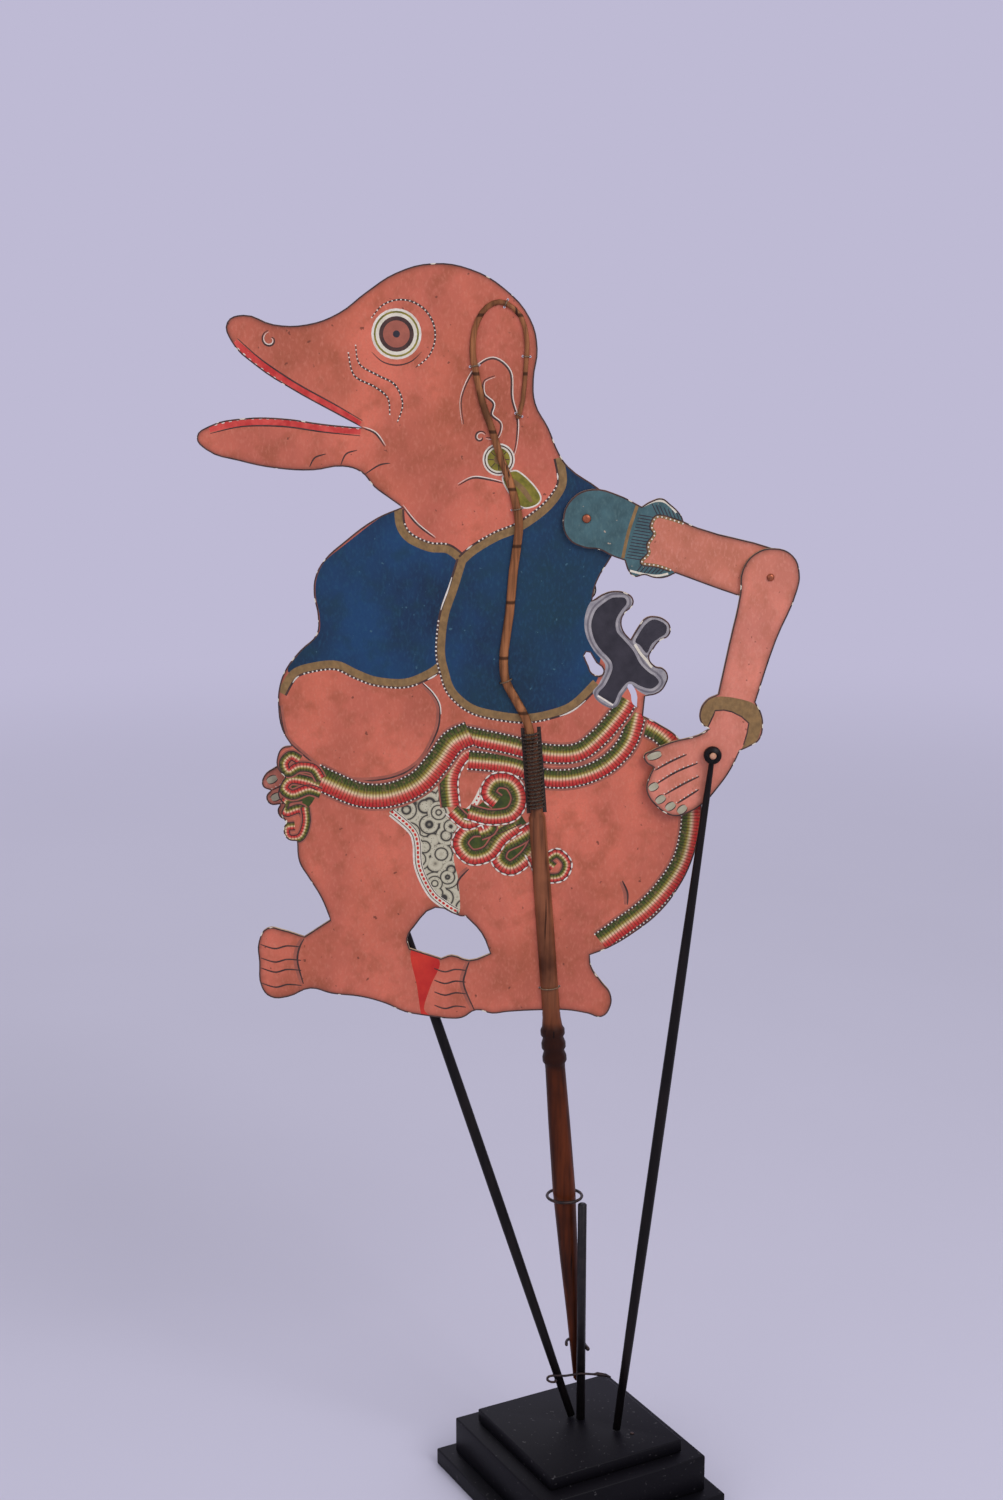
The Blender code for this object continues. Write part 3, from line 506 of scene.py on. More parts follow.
def within(loop, middles, rank):
    """The numbers of the points inside a closed outline. rank sorts the points by x."""
    loop = np.array(loop)
    low, high = loop.min(axis=0), loop.max(axis=0)
    first, last = np.searchsorted(middles[:, 0], (low[0], high[0]), sorter=rank)
    some = rank[first:last]
    some = some[(middles[some, 1] >= low[1]) & (middles[some, 1] <= high[1])]
    x, y = middles[some].T
    turns = np.zeros(len(some), int)
    for (ax, ay), (bx, by) in zip(loop, np.roll(loop, -1, axis=0)):
        if ay != by:
            crossed = ((ay > y) != (by > y)) & (x < ax + (bx - ax) * (y - ay) / (by - ay))
            turns += crossed if by > ay else -crossed.astype(int)
    return some[turns != 0]


def band_uv(spot, piece):
    """Where a point lies along and across one four-cornered piece of a band."""

    def share(start, end):
        way = end - start
        return max(0.0, min(1.0, (spot - start).dot(way) / max(1e-9, way.length_squared)))

    (a, b, low), (c, d, high) = piece
    along = share((a + b) / 2, (c + d) / 2)
    return low + (high - low) * along, share(a.lerp(c, along), b.lerp(d, along))


def is_slot(ring):
    """A long narrow cut, which the lashing fills."""
    loop = list(zip(ring, ring[1:] + ring[:1]))
    rim = sum((b - a).length for a, b in loop)
    area = abs(sum(a.x * b.y - b.x * a.y for a, b in loop)) / 2
    return rim > SLOT_RIM and area < SLOT_HALF_WIDTH * rim


def cad_mesh(node):
    """A CAD piece in world space, with its doubled corners welded."""
    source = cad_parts[node]
    bm = bmesh.new()
    bm.from_mesh(source.data)
    bmesh.ops.transform(bm, matrix=source.matrix_world, verts=bm.verts)
    bmesh.ops.remove_doubles(bm, verts=bm.verts, dist=WELD)
    return bm


def show(name, data, node, body):
    """Puts a mesh in the place of a CAD piece, on its body."""
    made = bpy.data.objects.new(name, data)
    bpy.context.scene.collection.objects.link(made)
    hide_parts(node)
    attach(made, body)


def dress(node, body, look, angle):
    """A copy of a CAD piece in its finish, smooth where its faces meet at less than an angle."""
    bm = cad_mesh(node)
    data = bpy.data.meshes.new(node + " dressed")
    bm.to_mesh(data)
    bm.free()
    data.materials.append(LOOKS[look])
    data.shade_smooth()
    data.set_sharp_from_angle(angle=math.radians(angle))
    show(node + "_dressed", data, node, body)


def rims(node):
    """The edges of a sheet's front face, as loops in pattern millimetres with the hide on their left."""
    bm = cad_mesh(node)
    bm.verts.index_update()
    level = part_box(node)[0].y
    front = [face for face in bm.faces if all(abs(v.co.y - level) < FLAT for v in face.verts)]
    known = set(front)  # only asked, never walked, because its order changes from run to run
    after, spots = {}, {}
    for face in front:
        for loop in face.loops:
            if sum(f in known for f in loop.edge.link_faces) == 1:
                start = loop.vert
                after[start.index] = loop.link_loop_next.vert.index
                spots[start.index] = Vector((start.co.x / MM, (start.co.z - SOLE) / MM))
    bm.free()
    loops = []
    while after:
        at = min(after, key=lambda spot: tuple(spots[spot]))
        ring = []
        while at in after:
            ring.append(spots[at])
            at = after.pop(at)
        loops.append(ring)
    return loops


def shifted(line, by):
    """A line moved to its left."""
    line, out = dense(line), []
    for k, spot in enumerate(line):
        way = (line[min(k + 1, len(line) - 1)] - line[max(k - 1, 0)]).normalized()
        out.append(spot + Vector((-way.y, way.x)) * by)
    return out


def turned(points, centre, degrees):
    """Points turned anticlockwise about a centre, as the viewer sees them."""
    c, s = math.cos(math.radians(degrees)), math.sin(math.radians(degrees))
    middle, level = centre
    return [
        (middle + (x - middle) * c - (z - level) * s, level + (x - middle) * s + (z - level) * c) for x, z in points
    ]


def edge_shading(sheet):
    """Darkens the hide towards its edges, with an ink rim and small chips. Slots stay closed and are painted dark
    instead: painted shade where an open slot would be in shadow.
    """
    for ring in rims(sheet.node):
        if is_slot(ring):
            # painted shade: a dark fill where the open slot would be in shadow
            sheet.region("pitch", ring, 6, False)
        elif len(ring) > SMALL_HOLE:
            for k in range(0, len(ring) - 1, 3):
                if scatter(k, 12.9898, 43758.5453) < CHIP_SHARE:
                    size = 0.25 + 0.5 * scatter(k, 78.233, 12543.123)
                    sheet.dots("cream", [ring[k], ring[k + 1]], 40, size, 8, dash=2.4)
            around = ring[-1:] + ring + ring[:1]
            sheet.band(sheet.base + "_edge", shifted(around, sheet.edge * 0.5)[1:-1], sheet.edge + 0.3, 1, True)
            sheet.band("dark", shifted(around, 0.35)[1:-1], 0.9, 7, True)


def ribbon(sheet, points, width, order, rim="dots"):
    """A striped sash ribbon. Its edges carry dark lines, with pale dots on both or pale dashes on the red side."""
    line, dots = smooth(points), rim == "dots"
    sheet.band("shade", line, width + (4.4 if dots else 2.0), order - 0.01)
    sheet.band("sash", line, width, order)
    beyond, thick = (0.5, 1.1) if dots else (-0.1, 0.6)
    for side in (1, -1):
        edge = shifted(line, side * (width / 2 + beyond))
        sheet.band("dark", edge, thick, order + 0.01)
        if dots:
            sheet.dots("white", edge, sheet.spacing, 0.5, order + 0.02)
    if rim == "dashes":
        sheet.dots("white", shifted(line, -width / 2 - 0.3), 4.4, 0.5, order + 0.02, dash=3.8)


def lined(sheet, points):
    """A drawn line: dark ink with a pale line along one side."""
    line = smooth(points)
    sheet.band("dark", line, 1.0, 3, taper=0.7)
    sheet.band("white", shifted(line, 0.8), 0.55, 3, taper=0.8)


def dotted(sheet, points):
    """A drawn line with pale dots on it."""
    sheet.band("dark", points, 1.1, 3, taper=0.6)
    sheet.dots("white", points, sheet.spacing, 0.45, 4)


# Where the paint goes, in millimetres: x from the stand's middle, z up from the soles
HEM = path(-168, 190, -161, 201, -150, 205, -137, 206, -126, 201, -115, 197, -99, 196, -86, 201, -79, 206)
FRONT_EDGE = path(
    -67, 264, -72, 248, -77, 233, -79, 214, -77, 202, -73, 191, -63, 182, -50, 178, -32, 176, -16, 179, -5, 184,
    7, 196,
)
NECK_LEFT = path(-102, 292, -101, 283, -96, 276, -85, 271, -75, 270, -67, 264)
NECK_RIGHT = path(-67, 264, -60, 270, -48, 277, -36, 282, -23, 291, -15, 300, -12, 308, -14, 320)
RIGHT_EDGE = path(-9, 315, 8, 303, 18, 294, 22, 280, 15, 266, 9, 253, 8, 240, 9, 226, 10, 214, 9, 207, 9, 196)
CHEST_EDGE = path(
    -100, 292, -114, 286, -131, 273, -142, 264, -147, 255, -148, 245, -146, 233, -147, 223, -156, 214, -164, 204,
)
BELLY = path(
    -169, 183, -167, 169, -162, 160, -138, 142, -111, 141, -92, 150, -82, 167, -79.8, 178, -80.5, 184, -84, 190,
    -89.5, 195.5,
)
SASH_LEFT = path(-150, 143, -142, 139, -125, 132, -108, 132, -92, 139, -81, 151, -73, 162, -63, 167)
SASH_UPPER = path(-66, 166, -42, 161, -22, 156, -4, 156, 8, 164, 20, 178, 25, 186)
SASH_LOWER = path(-64, 152, -39, 149, -23, 142, -4, 142, 13, 149, 25, 162, 30, 179)
TAIL = path(11, 46, 23, 55, 37, 66, 49, 80, 57, 94, 60.5, 108, 61.5, 121, 60, 138, 55, 153, 45, 166, 33, 173)
KNOT_INSIDE = path(
    -71, 124, -68, 112, -67, 103, -62, 97, -53, 98, -47, 92, -40, 90, -31, 96, -28, 110, -34, 120, -36, 133, -42, 139,
    -51, 136, -56, 128, -63, 124,
)
LEFT_KNOT_INSIDE = path(-149, 140, -154, 147, -163, 149, -165, 140, -166, 131, -162, 124, -157, 122, -150, 131)
CUFF_STROKES, LOBE_STROKES = 15, 7
LEFT_KNOT = 5  # the folds from this one on are the left knot's
SHOULDER, FAR_ELBOW = (1, 287), (-43.2, 190.7)
FAR_TURN, FAR_FORE_TURN = -97.1, -153.9  # degrees from the near upper arm, and from the x axis
EYE, EAR_STUD = (-102, 386), (-47, 319)
UPPER_LIP = path(-189, 382, -176, 370.5, -157, 357.8, -137, 346.8, -122, 338)
LOWER_LIP = path(-204, 335.2, -186, 339, -164, 339, -142, 336, -122, 334)
SLEEVE = path(
    -11.6, 286, -6.8, 297.6, 4, 302.6, 18, 299.6, 28, 294.6, 24.6, 280, 21.4, 265.4, 15, 267, 8, 270.4, 0, 271.4,
    -8.8, 276.3,
)
FRILL = path(39.5, 288, 36.6, 283, 38.4, 278.6, 35, 273, 35.4, 268, 31.6, 263)
FRILL_LOBES = [(53.6, 284.4), (46.7, 286.8)], [(40, 261.4), (47.4, 259)]  # skin shows between them
CUFF = [
    (27.6, 294.4), (31, 294.2), (36, 296.2), (42, 297.6), (46.3, 294.6), (52, 289), (54.4, 286), *FRILL_LOBES[0],
    *FRILL, *FRILL_LOBES[1], (49, 257.4), (44, 255), (38, 255), (33, 256.5), (27.5, 255.5), (25, 257.8), (22.4, 264),
    (21, 266),
]
HILT = path(
    5.5, 189.5, 15.5, 181.8, 19, 185, 22.5, 191, 26.5, 194.5, 31, 191, 36, 188.6, 42, 189, 47, 194, 48, 200, 45, 205,
    40, 206, 37, 210, 39, 214, 43, 218, 48, 221, 49.5, 227, 46, 232, 39, 234.5, 33, 233, 29, 227, 26, 222.5,
    22.6, 226, 22, 231, 24, 235, 28, 239, 28.4, 244, 23, 247.4, 17, 248, 10, 246, 3.6, 241, 0.8, 234, 0.4, 227,
    2, 220.5, 6, 213.5, 10.5, 208.5, 12.2, 205, 11.2, 200.5, 8.5, 195,
)
HILT_CURVE = path(
    8.4, 189, 16.3, 183.9, 19.9, 190.5, 25.4, 196.5, 31.4, 194.2, 35.1, 192.8, 38.8, 192.8, 42, 196.1, 39.7, 199.6,
    36.4, 201.7, 31.3, 206.8, 27.5, 213.8, 21.9, 220.3, 18.6, 224, 17.6, 227.7, 18.1, 231.9, 20.8, 236.5, 23.5, 240.2,
    22.5, 243.2, 18.9, 243.6, 15.2, 243.2, 11.1, 240.6, 7, 237, 4.8, 232.3, 4.1, 227.7, 4.9, 223.1, 6.7, 218.4,
    10, 213.8, 13.7, 210.1, 15.6, 207.3, 16.1, 204, 14.8, 199.8, 12, 194.2,
)
HILT_BRANCH = path(
    28.6, 219, 31, 224, 34.2, 228.6, 38, 231.2, 42.4, 230.3, 45.7, 227.7, 45.3, 223.6, 42.1, 221.2, 38.9, 218.9,
    37.1, 216.6, 34.9, 212.6, 31.1, 217,
)
BRACELET = path(
    65, 178, 67.6, 185.6, 75, 188.8, 87, 187.4, 95.6, 184, 99.4, 177, 99, 171, 97, 164.4, 92, 160.4, 87, 158.6,
    70.2, 170.6, 66, 173.4,
)
WRIST = path(
    68.7, 170.3, 70.6, 174.6, 72.4, 178.6, 73.1, 180.8, 78, 181.2, 82.5, 180.2, 88, 177.4, 92, 173.8, 91.2, 168,
    89.4, 161.5, 86, 154, 76, 155,
)
NEAR_FINGERS = [
    [(40.4, 147), (49, 152), (57.8, 156)], [(41, 139), (52, 146), (64, 151)], [(46, 133), (56, 139), (65, 143.5)],
    [(53, 128), (59, 132), (65, 136)],
]
NEAR_NAILS = [
    [(36, 154), (43.5, 156.6)], [(37.2, 136), (42, 139)], [(41.2, 128.6), (46, 132)], [(46.8, 124.6), (51.6, 128)],
    [(53.6, 122.6), (58, 126.4)],
]
FAR_FINGERS = [[(143, 3.5), (126, 4), (110, 4)], [(144, -6), (126, -6), (110, -5)]]
FAR_NAILS = [[(145, 9), (139, 9)], [(147, -1.5), (141, -1.5)], [(144.5, -11.5), (138.5, -11.5)]]
FAR_WRIST = path(77, -9, 80, -7, 80, 8, 77, 10, 90, 11, 95, 0, 92, -10)
FAR_BRACELET = path(73, 11, 75, 15, 82, 16, 86, 11.5, 91, -11.5, 88, -16, 80, -16, 76, -11.5)


def paint_head(sheet):
    """Eye, cheek lines, lips, ear and ear ornament."""
    eye_rings = (("white", 13.5), ("olive", 12.2), ("cream", 11.2), ("dark", 9.4), ("shade", 7.2), ("black", 1.9))
    for order, (look, radius) in enumerate(eye_rings, 3):
        sheet.disc(look, EYE, radius, order)
    dotted(sheet, spiral((-100, 386), 150, -215, 17.5, 19.5))
    sheet.band("dark", spiral(EYE, 215, 110, 16.5, 16.5), 0.8, 3, taper=0.8)
    dotted(sheet, path(-124, 380, -122, 370, -112, 364, -103, 359, -99, 349, -102, 339))
    dotted(sheet, path(-128, 376, -125, 364, -114, 358, -107, 352, -106, 343))
    lined(sheet, spiral((-170, 383), 100, 320, 5.0, 1.6))
    for lip, side in ((UPPER_LIP, 1), (LOWER_LIP, -1)):
        line = smooth(lip)
        sheet.band("lip", line, 4.2, 3, taper=0.3)
        sheet.band("dark", shifted(line, 2.2 * side), 0.9, 4, taper=0.6)
        sheet.dots("white", shifted(line, -1.6 * side), sheet.spacing * 1.7, 0.45, 4, dash=2.2)
    lined(sheet, [(-121, 336), (-114, 333), (-109, 326)])
    for fold in (
        [(-150, 315), (-147, 320), (-141, 322)], [(-133, 316), (-130, 322), (-124, 324)],
        [(-120, 311), (-112, 316), (-106, 317)],
    ):
        sheet.band("dark", fold, 0.9, 3, taper=0.7)
    ear = path(-66, 338, -67, 352, -60, 367, -50, 373, -41, 366, -40, 352, -37, 340, -38, 326, -41, 318)
    lined(sheet, ear)
    lined(sheet, path(-49, 364, -55, 361, -55, 354, -50, 349, -51, 343, -46, 338, -48, 331, -54, 331))
    lined(sheet, spiral((-57, 331), 30, 330, 3.6, 1.2))
    leaf = path(-45, 309, -39, 313, -34, 311, -27, 304, -24, 298, -27, 294, -34, 293, -40, 299)
    sheet.region("olive", leaf, 3)
    sheet.band("gold", [(-41, 309), (-34, 303), (-29, 296)], 3.0, 4, taper=0.5)
    sheet.band("white", leaf, 0.8, 5, True)
    stud_rings = (("white", 8.8), ("dark", 7.9), ("cream", 7.2), ("olive", 6.2), ("gold", 2.6))
    for order, (look, radius) in enumerate(stud_rings, 4):
        sheet.disc(look, EAR_STUD, radius, order)
    for c, s in circle(8):
        spoke = [(EAR_STUD[0] + radius * c, EAR_STUD[1] + radius * s) for radius in (2.8, 4.2, 5.8)]
        sheet.band("dark", spoke, 0.5, 8)
    lined(sheet, [(-100, 294), (-92, 284), (-82, 276)])
    lined(sheet, [(-69, 305), (-61, 309), (-52, 308), (-44, 306)])


def paint_vest(sheet):
    """The vest with its gold trim, and the belly under it."""
    left = CHEST_EDGE[1:] + HEM[1:] + FRONT_EDGE[3::-1] + NECK_LEFT[-2::-1]
    right = FRONT_EDGE + RIGHT_EDGE[-2::-1] + NECK_RIGHT[-1:0:-1]
    for shape in (left, right):
        sheet.region("vest", shape, 3)
    for trim, skin_side in ((HEM, -1), (NECK_LEFT, 1), (NECK_RIGHT, 1), (FRONT_EDGE, -1)):
        line = smooth(trim)
        sheet.band("gold", line, 4.4, 4)
        sheet.band("dark", shifted(line, skin_side * 2.7), 1.2, 4)
        rim, part = shifted(line, skin_side * 2.8), len(line) // 5
        sheet.dots("white", rim[part:-part], sheet.spacing, 0.55, 5)
        for end in (rim[4 : part - 1], rim[1 - part : -4]):
            sheet.band("white", end, 0.9, 5, taper=0.6)
    sheet.band("shade", shifted(BELLY, 0.9), 2.4, 2, taper=0.4)
    sheet.band("dark", BELLY, 1.0, 3, taper=0.5)
    sheet.band("white", shifted(BELLY[-4:], -0.6), 0.7, 4, taper=0.6)


def paint_sash(sheet):
    """The patterned flap, the striped sash and its two knots."""
    flap = path(
        -108.7, 121.8, -96.7, 131, -82.9, 138, -76, 124.5, -69.1, 108.6, -72.6, 96.3, -70, 82.2, -69.6, 63, -78, 66,
        -86.4, 73.5, -93.3, 89.3, -95, 106.9,
    )
    border = path(-107, 122, -96, 112, -93, 104, -92, 90, -85.5, 75.5, -78, 68.5, -71, 64)
    sheet.region("batik", flap, 2)
    sheet.band("cream", border, 4.4, 3)
    sheet.dots("red", border, sheet.spacing * 1.1, 0.75, 4, dash=1.5)
    for side in (-1, 1):
        sheet.band("dark", shifted(border, 1.6 * side), 0.45, 4)
    sheet.band("white", shifted(border, -2.5), 0.9, 4)
    ribbon(sheet, TAIL, 10.2, 3)
    ribbon(sheet, [(-74, 125), (-75, 141), (-70, 153), (-62, 160)], 10, 3.1, "dashes")
    ribbon(sheet, SASH_LOWER, 9.3, 3.2)
    ribbon(sheet, SASH_UPPER, 9.3, 3.3)
    ribbon(sheet, SASH_LEFT, 12.6, 3.4)
    strap = [(-72, 118), (-62, 125), (-56, 136)]
    sheet.band("cream", strap, 3.4, 4)
    sheet.dots("red", strap, sheet.spacing, 0.6, 5)
    for inside in (KNOT_INSIDE, LEFT_KNOT_INSIDE):
        sheet.region("leaf", inside, 4.8)
    folds = (
        (path(-28, 112, -36, 107, -45, 102, -47, 94, -40, 89.5, -31, 96, -26, 104), 8.0),
        (path(-36, 119, -50, 113, -63, 112, -69, 104, -63, 96, -53, 98, -46, 107, -37, 114), 8.4),
        (path(-73, 123, -65, 116, -56, 119, -52, 113, -58, 110), 7.6),
        (path(-64, 122, -52, 119, -40, 121, -35.5, 130, -40, 139, -49, 140, -53, 133, -48, 128), 8.2),
        (path(-29, 97, -22, 85, -12, 84.5, -8.5, 92, -14, 98, -19.5, 94, -16, 90), 5.0),
        (path(-158, 131, -166.5, 129, -167, 122, -159, 124, -155, 119), 5.2),
        (path(-156, 125, -155.5, 116, -159, 107.5, -166, 107, -167, 113, -162, 114), 4.6),
        (path(-147, 133, -154, 135, -163, 132, -168, 136, -164, 141, -155, 140, -148, 137), 5.6),
        (path(-147, 141, -151, 147, -159, 148, -165, 145, -167.5, 150, -163.5, 154.5, -158.5, 152), 5.4),
    )
    for k, (fold, width) in enumerate(folds):
        ribbon(sheet, fold, width, 5 + 0.1 * k, "dashes" if k < LEFT_KNOT else "line")


def paint_legs(sheet):
    """Toes, ankles, folds and the red cloth between the feet."""
    sheet.region("red", path(-97, 41, -81, 35, -86, 20, -90, 6, -85, 1, -91, 1, -94, 20), 2)
    for z in (43, 35, 29, 20):
        sheet.band("dark", [(-183, z + 1.5), (-175, z - 1), (-168, z + 0.6), (-160, z)], 1.0, 3, taper=0.5)
    for z in (29, 22, 15, 7):
        sheet.band("dark", [(-84, z + 1.2), (-78, z - 0.8), (-72, z + 0.6), (-66, z)], 1.0, 3, taper=0.5)
    for line in (
        [(-158, 48), (-161, 42), (-162, 34), (-159, 21)], [(-64, 34), (-66, 28), (-67, 20), (-61, 5)],
        [(-64, 89), (-70, 82), (-70, 76)], [(23, 82), (26, 75), (26, 68)],
    ):
        sheet.band("shade", shifted(line, -1.2), 2.4, 2, taper=0.6)
        sheet.band("dark", line, 1.1, 3, taper=0.5)


def paint_hilt(sheet):
    """The dark hilt behind the sash, with its grey borders."""
    sheet.region("grey", HILT, 4)
    for shape in (HILT_BRANCH, HILT_CURVE):
        sheet.band("slate", shape, 5.0, 5, True)
        sheet.band("grey", shape, 2.8, 5.1, True)
        sheet.region("black", shape, 6)
    sheet.band("cream", [(28.4, 217.4), (31.4, 212.6), (35, 208.4), (38, 204.5)], 1.5, 5.2)
    sheet.band("white", [(8, 188.6), (12.4, 185.9), (16.6, 183.2)], 1.0, 6.1)
    sheet.band("gold", [(36.8, 190), (37, 183), (35.6, 175)], 4.5, 3.9)


def paint_upper_arm(sheet, turn):
    """The sleeve with its frilled cuff, drawn for the near arm and turned about the shoulder."""

    def moved(*points):
        return turned(points, SHOULDER, turn)

    def hatch(start, end):
        sheet.band("black", moved(start, end), 0.6, 4, taper=0.3)

    for shape in (SLEEVE, CUFF):
        sheet.region("teal", moved(*shape), 3)
    sheet.band("gold", moved((28.6, 294.2), (24, 280), (21, 265.5)), 1.8, 4)
    for k in range(CUFF_STROKES):
        share = (k + 0.5) / CUFF_STROKES
        hatch((29.6 - 7 * share, 290 - 25 * share), (38.4 - 6 * share, 288.5 - 25 * share))
    for k in range(LOBE_STROKES):
        hatch((40 + 2 * k, 288.4 - 0.5 * k), (36.5 + 2.2 * k, 295.4 - 0.7 * k))
        hatch((32 + 2 * k, 262.4 - 0.5 * k), (28 + 2.2 * k, 257))
    rim = moved(*FRILL_LOBES[0], *FRILL, *FRILL_LOBES[1])
    sheet.band("gold", rim, 1.5, 5)
    sheet.band("dark", smooth(shifted(rim, -1)), 0.7, 5)
    sheet.dots("white", rim, sheet.spacing, 0.5, 6)
    sheet.band("cream", moved((32, 294), (38, 296.6), (44, 296), (50, 290.4)), 1.2, 5)
    sheet.band("cream", moved((25, 258.6), (32, 256.8), (40, 255.8), (46, 257)), 1.2, 5)


def paint_hand(sheet, bracelet, wrist, lines, nails):
    """Bracelet, wrist, finger lines and nails."""
    sheet.region("gold", bracelet, 3)
    sheet.region("arm", wrist, 4, False)
    sheet.band("dark", [Vector(p) for p in wrist[:-2]], 0.8, 4.1)
    for line in lines:
        sheet.band("dark", line, 1.2, 5, taper=0.5)
        sheet.dots("white", shifted(line, 0.8), 2.6, 0.36, 6)
    for root, tip in nails:
        sheet.band("dark", [root, tip], 5.0, 5, taper=0.5)
        sheet.band("nail", [root, tip], 3.8, 6, taper=0.5)


# The add-on
FLOOR_SIDES, FLOOR_RADII = 64, (0.6, 2.0, 6.0, 40.0)
PAPER_FADE = (0.7, 3.2)  # metres from the middle: the paper turns into the backdrop
LAMPS = (("key", 1.1, (1.1, -1.2, 1.7)), ("fill", 1.4, (-1.4, -1.2, 1.2)), ("back", 1.4, (-0.5, 1.6, 1.5)))
LAMP_AIM = Vector((-0.05, 0, 0.4))
CAMERA_SPOT, CAMERA_PITCH = (-0.0455, -1.127, 0.6776), math.radians(78.43)
ROOM_LIGHT, ROOM_STRENGTH = (0.86, 0.87, 0.92, 1), 0.6


def length(label, about, default):
    return bpy.props.FloatProperty(
        name=label, description=about, default=default * MM, min=0.5 * MM, max=10 * MM, unit="LENGTH", precision=4
    )


def power(label, about, default):
    return bpy.props.FloatProperty(name=label, description=about, default=default, min=0.0, unit="POWER")


def colour(label, about, *display):
    return bpy.props.FloatVectorProperty(
        name=label, description=about, default=tint(*display), size=3, min=0.0, max=1.0, subtype="COLOR"
    )


class PuppetSettings(bpy.types.PropertyGroup):
    """Sizes, colours and lamps of the dressed puppet."""

    edge_width: length("Edge shading", "Width of the darker band inside each hide edge", 4.0)
    dot_spacing: length("Dot spacing", "Distance between painted dots", 2.4)
    skin: colour("Skin", "Paint on the body and head", 190, 99, 78)
    arm: colour("Arms", "Paint on the arms and hands", 206, 122, 102)
    vest: colour("Vest", "Paint on the vest", 8, 36, 62)
    sleeve: colour("Sleeves", "Paint on the sleeves and cuffs", 58, 86, 90)
    trim: colour("Trim", "Gold paint on the vest's edges and the bracelets", 122, 94, 58)
    wood: colour("Grip wood", "Turned grip under the soles", 86, 37, 13)
    cane: colour("Cane", "Split cane that holds the hide", 162, 104, 66)
    stand: colour("Stand", "Paint on the stepped stand", 6, 5, 8)
    paper: colour("Paper", "Studio paper under the puppet", 205, 201, 222)
    backdrop: colour("Backdrop", "Plain background that the paper fades into", 190, 186, 212)
    key_power: power("Key lamp", "Power of the main lamp, at the viewer's right", 20.5)
    fill_power: power("Fill lamp", "Power of the lamp at the viewer's left", 4.5)
    back_power: power("Back lamp", "Power of the lamp behind the puppet", 4.5)


class PUPPET_OT_finishes(bpy.types.Operator):
    """Mixes the paints, woods, threads and metals"""

    bl_idname = "puppet.finishes"
    bl_label = "Finishes"

    def execute(self, context):
        make_looks(context.scene.puppet)
        return {"FINISHED"}


class PUPPET_OT_body(bpy.types.Operator):
    """Paints the body hide on both faces"""

    bl_idname = "puppet.body"
    bl_label = "Body hide"

    def execute(self, context):
        sheet = Sheet("body_hide", "figure", "skin")
        for paint in (edge_shading, paint_legs, paint_vest, paint_hilt, paint_sash, paint_head):
            paint(sheet)
        sheet.finish()
        return {"FINISHED"}


class PUPPET_OT_arms(bpy.types.Operator):
    """Paints both jointed arms"""

    bl_idname = "puppet.arms"
    bl_label = "Arms"

    def execute(self, context):
        def out(points):
            """Points drawn along x from the far elbow, laid where the far forearm lies."""
            moved = [(x + FAR_ELBOW[0], z + FAR_ELBOW[1]) for x, z in points]
            return turned(moved, FAR_ELBOW, FAR_FORE_TURN)

        def paint(node, body, drawing, *details):
            sheet = Sheet(node, body, "arm")
            edge_shading(sheet)
            drawing(sheet, *details)
            sheet.finish()

        for side, turn in (("near", 0), ("far", FAR_TURN)):
            paint(side + "_upper_arm", side + "_upper", paint_upper_arm, turn)
        paint("near_forearm", "near_fore", paint_hand, BRACELET, WRIST, NEAR_FINGERS, NEAR_NAILS)
        fingers, nails = ([out(line) for line in lines] for lines in (FAR_FINGERS, FAR_NAILS))
        paint("far_forearm", "far_fore", paint_hand, out(FAR_BRACELET), out(FAR_WRIST), fingers, nails)
        return {"FINISHED"}


class PUPPET_OT_woodwork(bpy.types.Operator):
    """Finishes the grip, the cane and the two arm rods"""

    bl_idname = "puppet.woodwork"
    bl_label = "Woodwork"

    def execute(self, context):
        dress("grip", "figure", "wood", 50)
        for node in ("front_cane", "back_cane"):
            dress(node, "figure", "cane", 60)
        for side in ("near", "far"):
            dress(side + "_hand_rod", side + "_rod", "rod", 60)
        return {"FINISHED"}


class PUPPET_OT_bindings(bpy.types.Operator):
    """Finishes the threads, pegs and spacer"""

    bl_idname = "puppet.bindings"
    bl_label = "Threads and pegs"

    def execute(self, context):
        dress("waist_lashing", "figure", "lashing", 80)
        for spot in ("crown", "ear", "end", "foot", "hem", "nape", "neck"):
            dress("tie_" + spot, "figure", "tie", 80)
        dress("shoulder_peg", "figure", "copper", 50)
        dress("shoulder_spacer", "figure", "bone", 50)
        for side in ("near", "far"):
            dress(side + "_elbow_peg", side + "_upper", "copper", 50)
            dress(side + "_hand_peg", side + "_fore", "bone", 50)
        return {"FINISHED"}


class PUPPET_OT_stand(bpy.types.Operator):
    """Finishes the black stand"""

    bl_idname = "puppet.stand"
    bl_label = "Stand"

    def execute(self, context):
        for node in ("base_block", "base_plate", "base_plinth"):
            dress(node, "stand", "stand", 30)
        dress("stand_post", "stand", "post", 50)
        for node in ("upper_ring", "lower_fork", "rod_clip", "base_brad"):
            dress(node, "stand", "iron", 50)
        return {"FINISHED"}


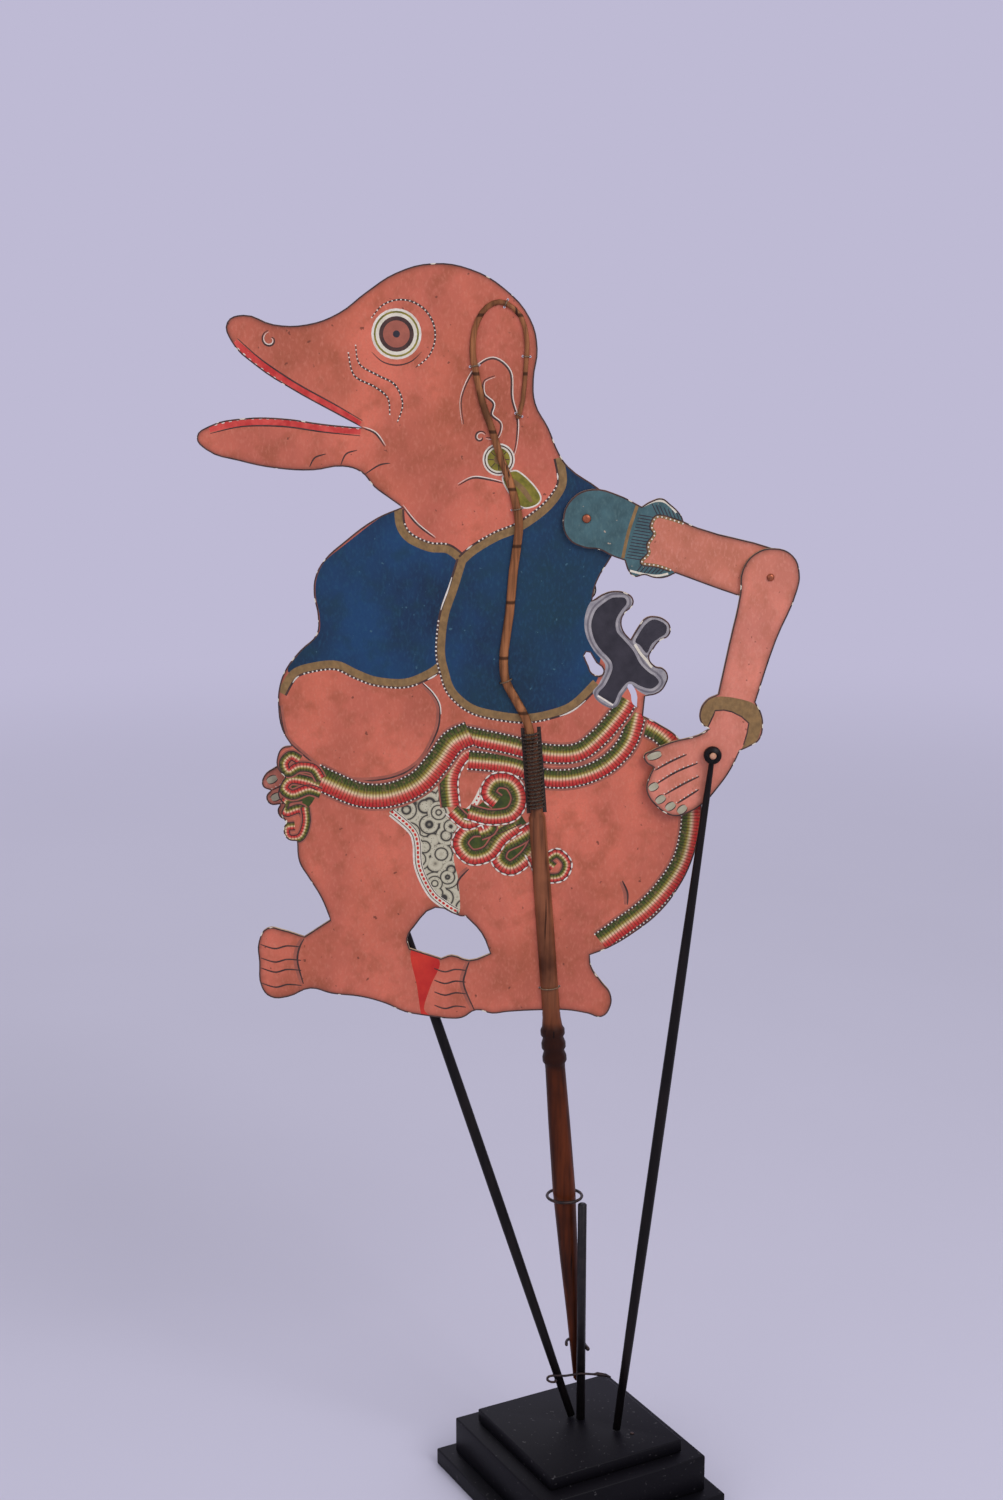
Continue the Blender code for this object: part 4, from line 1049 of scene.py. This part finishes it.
class PUPPET_OT_stage(bpy.types.Operator):
    """Adds the floor, the lamps and the camera"""

    bl_idname = "puppet.stage"
    bl_label = "Stage"

    def execute(self, context):
        scene, settings = context.scene, context.scene.puppet
        look = Finish("stage paper", 0.9, specular=0.1)
        paper = look.mix(look.noise(3), lit(tuple(settings.paper), 0.97), lit(tuple(settings.paper), 1.03))
        look.done(paper, look.noise(500), 0.05)
        distance = look.through("ShaderNodeVectorMath", look.place, 0, "Value", operation="LENGTH")
        far = look.between(distance, *PAPER_FADE, interpolation_type="SMOOTHSTEP")
        glow = look.node("ShaderNodeEmission", {"Color": (*settings.backdrop, 1)})
        blend = look.node("ShaderNodeMixShader")
        for socket, out in enumerate((far, look.shader.outputs[0], glow.outputs[0])):
            look.link(out, blend.inputs[socket])
        look.link(blend.outputs[0], look.tree.nodes["Material Output"].inputs["Surface"])
        data = bpy.data.meshes.new("floor")
        verts = [(radius * c, radius * s, 0.0) for radius in FLOOR_RADII for c, s in circle(FLOOR_SIDES)]
        faces = [tuple(range(FLOOR_SIDES))]
        for low in range(0, len(verts) - FLOOR_SIDES, FLOOR_SIDES):
            for k in range(FLOOR_SIDES):
                a, b = low + k, low + (k + 1) % FLOOR_SIDES
                faces.append((a, a + FLOOR_SIDES, b + FLOOR_SIDES, b))
        data.from_pydata(verts, [], faces)
        data.materials.append(look.material)
        made = [bpy.data.objects.new("floor", data)]
        for name, size, spot in LAMPS:
            lamp = bpy.data.lights.new(name, "AREA")
            lamp.energy, lamp.size = getattr(settings, name + "_power"), size
            holder = bpy.data.objects.new(name, lamp)
            holder.location = spot
            holder.rotation_euler = (LAMP_AIM - Vector(spot)).to_track_quat("-Z", "Y").to_euler()
            made.append(holder)
        lens = bpy.data.cameras.new("view")
        lens.lens, lens.sensor_width, lens.clip_start = 50, 36, 0.05
        view = bpy.data.objects.new("view", lens)
        view.location = CAMERA_SPOT
        view.rotation_euler = (CAMERA_PITCH, 0, 0)
        made.append(view)
        for obj in made:
            scene.collection.objects.link(obj)
        scene.camera = view
        world = bpy.data.worlds.new("room")
        world.use_nodes = True
        nodes, links = world.node_tree.nodes, world.node_tree.links
        lights = nodes["Background"]
        lights.inputs["Color"].default_value = ROOM_LIGHT
        lights.inputs["Strength"].default_value = ROOM_STRENGTH
        seen = nodes.new("ShaderNodeBackground")
        seen.inputs["Color"].default_value = (*settings.backdrop, 1)
        rays = nodes.new("ShaderNodeLightPath").outputs
        direct = rays["Is Camera Ray"]
        for kind in ("Is Glossy Ray", "Is Transmission Ray"):
            total = nodes.new("ShaderNodeMath")
            total.operation, total.use_clamp = "ADD", True
            links.new(direct, total.inputs[0])
            links.new(rays[kind], total.inputs[1])
            direct = total.outputs[0]
        pick = nodes.new("ShaderNodeMixShader")
        for socket, out in enumerate((direct, lights.outputs[0], seen.outputs[0])):
            links.new(out, pick.inputs[socket])
        links.new(pick.outputs[0], nodes["World Output"].inputs["Surface"])
        scene.world = world
        scene.view_settings.view_transform = "Standard"
        return {"FINISHED"}


STEPS = (
    PUPPET_OT_finishes, PUPPET_OT_body, PUPPET_OT_arms, PUPPET_OT_woodwork, PUPPET_OT_bindings, PUPPET_OT_stand,
    PUPPET_OT_stage,
)


class PUPPET_PT_panel(bpy.types.Panel):
    """Sidebar panel with the settings and the steps in order"""

    bl_label = "Hide puppet"
    bl_space_type = "VIEW_3D"
    bl_region_type = "UI"
    bl_category = "Puppet"

    def draw(self, context):
        for key in PuppetSettings.__annotations__:
            self.layout.prop(context.scene.puppet, key)
        for step in STEPS:
            self.layout.operator(step.bl_idname)


CLASSES = (PuppetSettings, *STEPS, PUPPET_PT_panel)


def register():
    for each in CLASSES:
        bpy.utils.register_class(each)
    bpy.types.Scene.puppet = bpy.props.PointerProperty(type=PuppetSettings)


def unregister():
    del bpy.types.Scene.puppet
    for each in reversed(CLASSES):
        bpy.utils.unregister_class(each)


def main():
    register()
    for step in STEPS:
        group, name = step.bl_idname.split(".")
        getattr(getattr(bpy.ops, group), name)()


if __name__ == "__main__":
    main()
